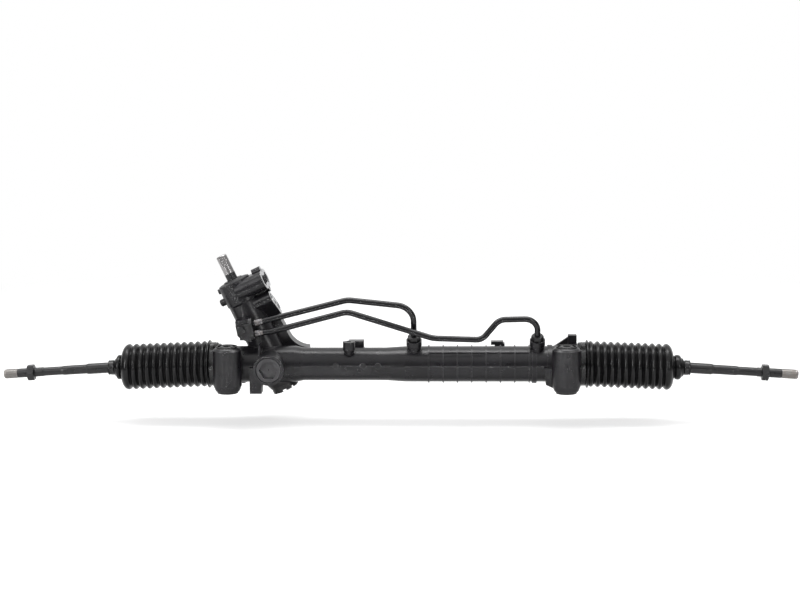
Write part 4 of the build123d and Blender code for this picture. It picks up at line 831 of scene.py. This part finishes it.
# ---- boots
@dataclass
class Boot:
    """Concertina boot between the casting and a tie rod."""

    side: Side
    first_crest: float
    pitch: float
    crests: int = 12
    crest_r: float = 34.3 * MM
    root_r: float = 29.8 * MM
    cuff_start: float = 269.0 * MM
    cuff_r: float = 31.9 * MM
    bead: float = 281.6 * MM
    bead_r: float = 36.0 * MM
    wall: float = 2.0 * MM
    neck_start: float = 424.6 * MM
    neck_end: float = 434.5 * MM
    split_after: int = 10
    stretch_start: float = 286.0 * MM
    stretch_end: float = 384.5 * MM
    swing_end: float = 420.0 * MM
    smooth: float = 75.0

    def drop(self, distance: float) -> float:
        """How far the boot's axis lies below the rack's.

        Args:
            distance: distance from the middle of the rack.

        Returns:
            The drop, in metres, which is 0 up to the first crest.
        """
        neck = (self.neck_start + self.neck_end) / 2
        share = max(0.0, (distance - self.first_crest) / (neck - self.first_crest))
        return share * (LAYOUT.rack_z - LAYOUT.rod_height(neck))

    def ring(self, distance: float, radius: float) -> Station:
        """Ring of the boot at a distance from the middle of the rack."""
        return Station(distance, radius, self.drop(distance))

    def crest_rings(self, index: int) -> list[Station]:
        """Rings over one crest, from flank to flank.

        Args:
            index: the crest's number, counted from the casting.

        Returns:
            The rings in order, without the roots.
        """
        middle = self.first_crest + index * self.pitch
        flank = ((4.2, 3.3), (3.3, 2.1), (2.3, 1.1), (1.2, 0.3), (0.4, 0.0))
        lobe = [(-x, r) for x, r in flank] + list(reversed(flank))
        return [self.ring(middle + x * MM, self.crest_r - r * MM) for x, r in lobe]

    def root_ring(self, index: int) -> Station:
        """Ring at the bottom of the valley after a crest."""
        return self.ring(self.first_crest + (index + 0.5) * self.pitch, self.root_r)

    def folds(self, start: int, end: int) -> list[Station]:
        """Rings of the crests from start up to end, each with the valley after it."""
        return [r for i in range(start, end) for r in (*self.crest_rings(i), self.root_ring(i))]

    def split(self) -> float:
        """Distance of the valley where the two pieces of the boot meet."""
        return self.first_crest + (self.split_after - 0.5) * self.pitch

    def bellows_stations(self) -> list[Station]:
        """Cuff, bead and the convolutions up to the split.

        Returns:
            The rings in order, outwards.
        """
        start, cuff, bead, rim = self.cuff_start, self.cuff_r, self.bead, self.bead_r
        profile = (
            (start, cuff - 0.5 * MM), (start + 0.4 * MM, cuff + 0.7 * MM),
            (start + 1.6 * MM, cuff + 0.7 * MM), (start + 2.1 * MM, cuff),
            (bead - 2.4 * MM, cuff), (bead - 2.0 * MM, cuff + 0.6 * MM),
            (bead - 1.5 * MM, rim - 1.0 * MM), (bead - 0.6 * MM, rim),
            (bead + 0.6 * MM, rim), (bead + 1.5 * MM, rim - 1.0 * MM),
            (bead + 2.3 * MM, self.root_r + 1.2 * MM),
        )
        return [self.ring(x, r) for x, r in profile] + self.folds(0, self.split_after)

    def neck_stations(self) -> list[Station]:
        """Last convolutions, the domed end, the small fold and the neck on the rod.

        Returns:
            The rings in order, outwards.
        """
        dome = ((2.4, 34.0), (4.4, 33.0), (6.3, 31.1), (8.0, 28.5), (9.3, 25.4), (10.2, 21.8),
                (10.7, 18.4), (11.2, 16.4))
        small_fold = ((0.06, 16.3), (0.14, 17.8), (0.26, 18.6), (0.48, 18.6), (0.62, 17.9),
                      (0.72, 16.2), (0.78, 14.4), (0.84, 13.8), (0.97, 13.4))
        neck = ((0.3, 10.6), (0.9, 10.2), (8.4, 10.2), (8.8, 11.2), (9.6, 11.2), (9.9, 10.4))
        rings = [self.root_ring(self.split_after - 1)]
        rings += self.folds(self.split_after, self.crests - 1)
        rings += self.crest_rings(self.crests - 1)[:6]
        last = self.first_crest + (self.crests - 1) * self.pitch
        fold = last + dome[-1][0] * MM
        room = self.neck_start - fold
        rings += [self.ring(last + x * MM, r * MM) for x, r in dome]
        rings += [self.ring(fold + x * room, r * MM) for x, r in small_fold]
        rings += [self.ring(self.neck_start + x * MM, r * MM) for x, r in neck]
        return rings

    def skin(self, name: str, stations: list[Station]) -> Piece:
        """Boot wall through the given rings.

        Args:
            name: the piece's name.
            stations: the rings, in order.

        Returns:
            The finished mesh object.
        """
        centre = Vector((0.0, LAYOUT.rack_y, LAYOUT.rack_z))
        piece = ring_body(name, centre, self.side.outwards, stations, 72)
        clean(piece, self.smooth)
        modify(piece, "SUBSURF", levels=1, render_levels=1)
        modify(piece, "SOLIDIFY", thickness=self.wall, offset=-1.0)
        apply_all(piece)
        bpy.ops.object.shade_smooth_by_angle(angle=math.radians(self.smooth))
        return piece

    def at(self, distance: float) -> tuple[float, float, float]:
        """Point on the boot's axis."""
        return (self.side.value * distance, LAYOUT.rack_y, LAYOUT.rack_z - self.drop(distance))

    def build(self, rubber: Material) -> None:
        """Models both pieces of the boot.

        Args:
            rubber: the boot's finish.
        """
        label = self.side.label
        bellows = self.skin(f"{label}_boot_bellows", self.bellows_stations())
        neck = self.skin(f"{label}_boot_outer_end", self.neck_stations())
        for piece in (bellows, neck):
            wear(piece, rubber)
            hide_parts(f"{label}_boot")
            LOG.info("piece %s, %d faces", piece.name, len(piece.data.polygons))
        self.at(self.stretch_start)
        self.at(self.stretch_end)
        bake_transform(bellows)
        self.at(self.split())
        self.at(self.swing_end)
        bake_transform(neck)


# ---- threads
@dataclass
class Thread:
    """Helical thread ridge on a rod or in a hole."""

    name: str
    body: str
    slot: str
    start: Vector
    axis: Vector
    radius: float
    pitch: float
    turns: int
    height: float
    inside: bool = False
    steps: int = 40
    sink: float = 0.06 * MM

    def build(self, material: Material) -> None:
        """Models the ridge as a triangle carried round by the screw modifier.

        Args:
            material: the thread's finish.
        """
        deselect()
        bpy.ops.mesh.primitive_circle_add(vertices=3, radius=self.pitch, fill_type="NOTHING")
        piece = bpy.context.object
        piece.name = self.name
        lean = -1.0 if self.inside else 1.0
        base = self.radius - lean * self.sink
        tip = self.radius + lean * self.height
        half = self.pitch * 0.46
        triangle = ((tip, 0.0), (base, -half), (base, half))
        for vertex, (radius, level) in zip(piece.data.vertices, triangle):
            vertex.co = (radius, 0.0, level)
        modify(piece, "SCREW", axis="Z", angle=math.tau, screw_offset=self.pitch,
               iterations=self.turns, steps=self.steps, render_steps=self.steps,
               use_smooth_shade=False)
        apply_all(piece)
        with editing():
            bpy.ops.mesh.fill_holes(sides=3)
        turn = self.axis.to_track_quat("Z", "Y").to_matrix().to_4x4()
        piece.matrix_world = Matrix.Translation(self.start) @ turn
        apply_all(piece)
        clean(piece, 25.0)
        dress(piece, material, self.body)


# ---- clamps
@dataclass
class BandClamp:
    """Sheet-steel band round a boot, closed by a crimped ear."""

    name: str
    node: str
    body: str
    centre: Vector
    direction: Vector
    radius: float
    width: float
    sheet: float
    ear_angle: float
    ear_height: float
    ear_span: float

    def round_band(self) -> Piece:
        """The band with rolled edges.

        Returns:
            The mesh object, closed round its section.
        """
        half = self.width / 2
        outer = self.radius + self.sheet
        rim = ((0.0, self.radius), (0.0, outer - 0.25 * MM), (0.3 * MM, outer + 0.1 * MM),
               (0.8 * MM, outer))
        stations = [Station(x - half, r) for x, r in rim]
        stations += [Station(half - x, r) for x, r in reversed(rim)]
        stations.append(stations[0])
        return ring_body(self.name, self.centre, self.direction, stations, 96)

    def ear(self) -> Piece:
        """The crimped ear, standing out of the band.

        Returns:
            The mesh object.
        """
        side = self.direction.cross(Vector((0.0, 0.0, 1.0))).normalized()
        up = side.cross(self.direction).normalized()
        out = side * math.cos(self.ear_angle) + up * math.sin(self.ear_angle)
        round_way = self.direction.cross(out).normalized()
        reach = self.radius + self.sheet
        span, high = self.ear_span, self.ear_height
        drop = reach - math.sqrt(reach ** 2 - span ** 2)
        start = self.centre + out * (reach - drop + self.sheet * 0.4) - round_way * span
        foot = round_way * span * 0.28
        bends = ((0.18, 0.25), (0.02, 0.45), (0.14, 0.24), (0.76, 0.06), (0.14, -0.24),
                 (0.02, -0.45), (0.18, -0.31))
        steps = [foot + out * drop * 0.5]
        steps += [round_way * span * x + out * high * y for x, y in bends]
        steps.append(foot - out * drop * 0.5)
        width = self.direction * (self.width * 0.8)
        return strip_body(f"{self.name}_ear", start, width, steps, self.sheet)

    def build(self, material: Material, slot: str) -> None:
        """Models the clamp as one piece that replaces its node.

        Args:
            material: the clamp's finish.
            slot: the record's material slot; not used.
        """
        band = self.round_band()
        clean(band, 40.0)
        ear = self.ear()
        activate(band)
        ear.select_set(True)
        bpy.ops.object.join()
        clean(band, 40.0)
        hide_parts(self.node)
        dress(band, material, self.body)


# ---- finishes of the nodes
class Wardrobe:
    """All finishes of the object, made once and shared."""

    def __init__(self) -> None:
        """Makes the finish of every slot, and those of the nodes and threads that differ."""
        up, out, foot = LAYOUT.tower_up(), LAYOUT.tower_out(), LAYOUT.tower(0, 0, 0)
        bore = (20 * MM, 44 * MM)
        machined = (
            Beyond(LAYOUT.tower(FLANGE_FACE, 0, FLANGE_LEVEL), out, 36 * MM),
            Beyond(LAYOUT.tower(PORT_FACE, *PRESSURE_PORT), out, 10.6 * MM),
            Beyond(LAYOUT.tower(PORT_FACE, *CLAMP_HOLE), out, 9 * MM),
            Beyond(LAYOUT.tower(PORT_FACE, *RETURN_PORT), out, 11.6 * MM),
            Within(foot, up, 17.4 * MM, 40 * MM, 121.5 * MM),
            Within(LAYOUT.tower(0, *PRESSURE_PORT), out, 6.7 * MM, *bore),
            Within(LAYOUT.tower(0, *RETURN_PORT), out, 7.7 * MM, *bore),
            Within(LAYOUT.tower(0, -EAR_SIDE, FLANGE_LEVEL), out, 8.8 * MM, 18 * MM, 44 * MM),
            Within(LAYOUT.tower(0, EAR_SIDE, FLANGE_LEVEL), out, 8.8 * MM, 18 * MM, 44 * MM),
        )
        tips = tuple(
            Beyond(LAYOUT.rod_point(side.value, LAYOUT.rod_length - side.bare_tip * MM),
                   LAYOUT.rod_direction(side.value))
            for side in Side
        )
        collars = (Beyond(Vector((-0.16, 0.0, 0.0)), Vector((-1.0, 0.0, 0.0))),)
        stub = (Within(foot, up, 12 * MM, 0.0, 149 * MM),)
        finishes = {
            "cast_black": CastPaint(machined=machined),
            "sleeve_steel": SatinPaint("sleeve_black_paint", gloss=(0.34, 0.46)),
            "bush_rubber": MouldedRubber("bush_rubber", gloss=(0.5, 0.7)),
            "aluminium": TurnedMetal("turned_aluminium", colour=(0.72, 0.72, 0.73),
                                     pitch=0.7 * MM, gloss=(0.3, 0.45), stained=0.75),
            "seal_rubber": MouldedRubber("seal_rubber", gloss=(0.35, 0.5)),
            "bearing_steel": TurnedMetal("bearing_steel", colour=(0.6, 0.6, 0.6), origin=foot,
                                         axis=up),
            "grey_plug": Phosphate("grey_phosphate"),
            "cap_plastic": MouldedPlastic("cap_black_plastic"),
            "black_steel": SatinPaint("fitting_black_paint", gloss=(0.3, 0.45)),
            "machined_steel": TurnedMetal("rack_ground_steel", pitch=0.5 * MM),
            "seal_plastic": MouldedPlastic("ring_brown_plastic", colour=(0.16, 0.12, 0.08)),
            "pipe_black": SatinPaint("pipe_black_coat", dark=(0.004, 0.004, 0.005),
                                     light=(0.008, 0.0078, 0.009), gloss=(0.15, 0.22),
                                     peel=0.015 * MM),
            "seat_brass": TurnedMetal("turned_brass", colour=(0.62, 0.46, 0.22), axis=out,
                                      pitch=0.5 * MM, gloss=(0.2, 0.34),
                                      stain=(0.25, 0.16, 0.08), stained=0.7),
            "boot_rubber": MouldedRubber("boot_rubber"),
            "clamp_steel": SatinPaint("clamp_dark_steel", dark=(0.008, 0.008, 0.009),
                                      light=(0.02, 0.0195, 0.02), gloss=(0.2, 0.32)),
            "rod_black": SatinPaint("rod_black_paint", bare=tips, gloss=(0.26, 0.4),
                                    peel=0.04 * MM),
        }
        self.by_slot = {slot: finish.make() for slot, finish in finishes.items()}
        # painted shade: the valve, pinion and torsion bar steel is coloured darker than ground
        # steel so the pocket it is seen through reads dark
        valve = TurnedMetal("valve_steel_painted_shade", colour=(0.2, 0.19, 0.185), origin=foot,
                            axis=up, pitch=0.6 * MM).make()
        on_tower = ("valve_sleeve", "pinion", "pinion_nut", "torsion_bar", "torsion_bar_pin")
        self.by_node = dict.fromkeys(on_tower, valve)
        self.by_node["input_shaft"] = TurnedMetal(
            "shaft_ground_steel", origin=foot, axis=up, gloss=(0.28, 0.4),
            stain=(0.4, 0.385, 0.38), stained=0.72, painted=stub).make()
        self.by_node["pipe_nuts"] = SatinPaint("tube_nut_black", gloss=(0.3, 0.42),
                                               bare=collars, steel=(0.2, 0.2, 0.21)).make()
        self.rod_thread = TurnedMetal("bare_thread_steel", colour=(0.26, 0.25, 0.24),
                                      gloss=(0.34, 0.5), stained=0.5).make()
        self.port_thread = TurnedMetal("port_thread_aluminium", colour=(0.66, 0.66, 0.67),
                                       axis=out).make()

    def dress_nodes(self) -> None:
        """Puts the finishes on the nodes that came with the frame."""
        slots = {part["node"]: part["material_slot"] for part in frame["record"]["subparts"]}
        for name, node in frame["nodes"].items():
            material = self.by_node.get(name, self.by_slot[slots[name]])
            if not node.material_slots:
                node.data.materials.append(material)
            for place in node.material_slots:
                place.material = material
            LOG.info("node %s wears %s", name, material.name)


# ---- studio
@dataclass(frozen=True)
class Lamp:
    """Rectangular soft light, aimed at the middle of the object unless told otherwise."""

    name: str
    place: tuple[float, float, float]
    size: tuple[float, float]
    power: float
    aim: tuple[float, float, float] = (0.0, 0.04, 0.05)
    spread: float = math.pi

    def build(self) -> None:
        """Hangs the lamp and turns it to its aim."""
        light = bpy.data.lights.new(self.name, "AREA")
        light.shape = "RECTANGLE"
        light.size, light.size_y = self.size
        light.energy = self.power
        light.spread = self.spread
        lamp = bpy.data.objects.new(self.name, light)
        bpy.context.scene.collection.objects.link(lamp)
        lamp.location = self.place
        beam = Vector(self.aim) - Vector(self.place)
        lamp.rotation_euler = beam.to_track_quat("-Z", "Y").to_euler()


LAMPS = (
    Lamp("softbox_left", (-1.9, -1.9, 0.9), (0.4, 1.5), 34.0),
    Lamp("softbox_right", (1.9, -2.1, 0.8), (0.3, 1.3), 12.0),
    Lamp("overhead", (0.0, 0.25, 2.2), (3.0, 0.7), 44.0),
    Lamp("floor_strip", (0.0, -0.8, 1.5), (1.8, 0.06), 5.0, aim=(0.0, -0.54, -0.05),
         spread=math.radians(16.0)),
)


@dataclass
class Studio:
    """Pale floor, soft light and the camera."""

    floor_z: float = -52.0 * MM
    floor_size: float = 8.0
    floor_grey: float = 0.62
    floor_glow: float = 0.42
    fade: tuple[float, float] = (0.8, 1.6)
    azimuth: float = math.radians(2.6)
    elevation: float = math.radians(9.5)
    roll: float = math.radians(-0.5)
    distance: float = 2.8
    lens: float = 84.85
    target: tuple[float, float, float] = (0.0046, 0.040, 0.1321)

    def floor(self) -> None:
        """Pale floor that keeps a soft shadow near the object and is plain white further off."""
        deselect()
        bpy.ops.mesh.primitive_plane_add(size=self.floor_size, location=(0.0, 0.0, self.floor_z))
        plane = bpy.context.object
        plane.name = "studio_floor"
        bpy.ops.object.transform_apply(location=True)
        graph = Surface("studio_floor_white")
        graph.finish((self.floor_grey,) * 3, 0.9, specular=0.0)
        seen = graph.add("ShaderNodeLightPath").outputs["Is Camera Ray"]
        glow = graph.glow(graph.calc("MULTIPLY", seen, self.floor_glow))
        near = graph.add("ShaderNodeAddShader", None, graph.shader.outputs[0], glow)
        behind = graph.along(graph.place, Vector((0.0, 1.0, 0.0)))
        white = graph.glow(graph.choose(seen, graph.fit(behind, 0.3, 1.0, 0.12, 1.0), 1.0))
        share = graph.fit(graph.length(graph.place), *self.fade, smooth=True)
        both = graph.add("ShaderNodeMixShader", None, share, near.outputs[0], white)
        graph.put(graph.output.inputs["Surface"], both.outputs[0])
        plane.data.materials.append(graph.material)

    def world(self) -> None:
        """Surroundings bright overhead and behind, and white where the camera sees them."""
        world = bpy.data.worlds.new("studio_world")
        bpy.context.scene.world = world
        world.use_nodes = True
        graph = Graph(world.node_tree, "Generated")
        way = graph.add("ShaderNodeSeparateXYZ", None, graph.place)
        overhead = graph.fit(way.outputs["Z"], 0.15, 0.75, 0.1, 1.0, smooth=True)
        behind = graph.fit(way.outputs["Y"], 0.45, 0.85)
        path = graph.add("ShaderNodeLightPath")
        seen = graph.calc("MAXIMUM", path.outputs["Is Camera Ray"],
                          path.outputs["Is Transmission Ray"])
        level = graph.choose(seen, graph.calc("MAXIMUM", overhead, behind), 1.0)
        back = graph.add("ShaderNodeBackground", Color=(1.0, 1.0, 1.0), Strength=level)
        graph.add("ShaderNodeOutputWorld", Surface=back.outputs[0])

    def camera(self) -> None:
        """Camera at the viewing angle, level with the rack."""
        data = bpy.data.cameras.new("camera")
        data.lens = self.lens
        data.sensor_width = 36.0
        data.clip_end = 100.0
        camera = bpy.data.objects.new("camera", data)
        bpy.context.scene.collection.objects.link(camera)
        level = math.cos(self.elevation)
        back = Vector((math.sin(self.azimuth) * level, -math.cos(self.azimuth) * level,
                       math.sin(self.elevation)))
        roll = Matrix.Rotation(self.roll, 3, "Z")
        turn = ((-back).to_track_quat("-Z", "Y").to_matrix() @ roll).to_4x4()
        place = Vector(self.target) + back * self.distance
        camera.matrix_world = Matrix.Translation(place) @ turn
        bpy.context.scene.camera = camera

    def build(self) -> None:
        """Sets up the whole studio."""
        self.world()
        self.floor()
        for lamp in LAMPS:
            lamp.build()
        self.camera()
        bpy.context.scene.view_settings.view_transform = "Standard"


# ---- assembly
def build_threads(wardrobe: Wardrobe) -> None:
    """Threads of the tie rods and the hose ports.

    Args:
        wardrobe: the object's finishes.
    """
    for side in Side:
        start = LAYOUT.rod_point(side.value, LAYOUT.rod_length - (side.bare_tip - 1.0) * MM)
        Thread(f"{side.label}_rod_thread", side.rod_body, "rod_black", start,
               LAYOUT.rod_direction(side.value), radius=6.9 * MM, pitch=ROD_THREAD_PITCH * MM,
               turns=int((side.bare_tip - 4.0) / ROD_THREAD_PITCH), height=0.3 * MM,
               ).build(wardrobe.rod_thread)
    ports = (("pressure_port_thread", PRESSURE_PORT, 6.5), ("return_port_thread", RETURN_PORT, 7.5))
    for name, port, radius in ports:
        Thread(name, "housing", "aluminium", LAYOUT.tower(34.5, *port), LAYOUT.tower_out(),
               radius=radius * MM, pitch=1.25 * MM, turns=6, height=0.5 * MM, inside=True,
               ).build(wardrobe.port_thread)


def build_clamps(boot: Boot, steel: Material) -> None:
    """Both clamps of a boot.

    Args:
        boot: the boot they hold.
        steel: their finish.
    """
    side = boot.side
    left = side is Side.LEFT
    BandClamp(
        f"{side.label}_big_clamp", f"{side.label}_boot_big_clamp", "housing",
        Vector(boot.at(275.6 * MM)), side.outwards, radius=31.8 * MM, width=6.8 * MM,
        sheet=0.8 * MM, ear_angle=math.radians(120.0 if left else 60.0), ear_height=3.6 * MM,
        ear_span=6.0 * MM,
    ).build(steel, "clamp_steel")
    BandClamp(
        f"{side.label}_small_clamp", f"{side.label}_boot_small_clamp", side.rod_body,
        LAYOUT.rod_point(side.value, 88.9 * MM), LAYOUT.rod_direction(side.value),
        radius=10.15 * MM, width=6.4 * MM, sheet=0.7 * MM,
        ear_angle=math.radians(-60.0 if left else -120.0), ear_height=2.6 * MM,
        ear_span=3.4 * MM,
    ).build(steel, "clamp_steel")


def build_boots(wardrobe: Wardrobe) -> None:
    """Both boots with their clamps.

    Args:
        wardrobe: the object's finishes.
    """
    left = Boot(Side.LEFT, first_crest=289.6 * MM, pitch=10.3 * MM)
    right = Boot(Side.RIGHT, first_crest=287.2 * MM, pitch=10.14 * MM)
    for boot in (left, right):
        boot.build(wardrobe.by_slot["boot_rubber"])
        build_clamps(boot, wardrobe.by_slot["clamp_steel"])


def main() -> None:
    """Builds the pieces, the finishes and the studio."""
    logging.basicConfig(level=logging.INFO, format="%(name)s: %(message)s")
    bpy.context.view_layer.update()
    wardrobe = Wardrobe()
    wardrobe.dress_nodes()
    build_boots(wardrobe)
    build_threads(wardrobe)
    Studio().build()


if __name__ == "__main__":
    main()
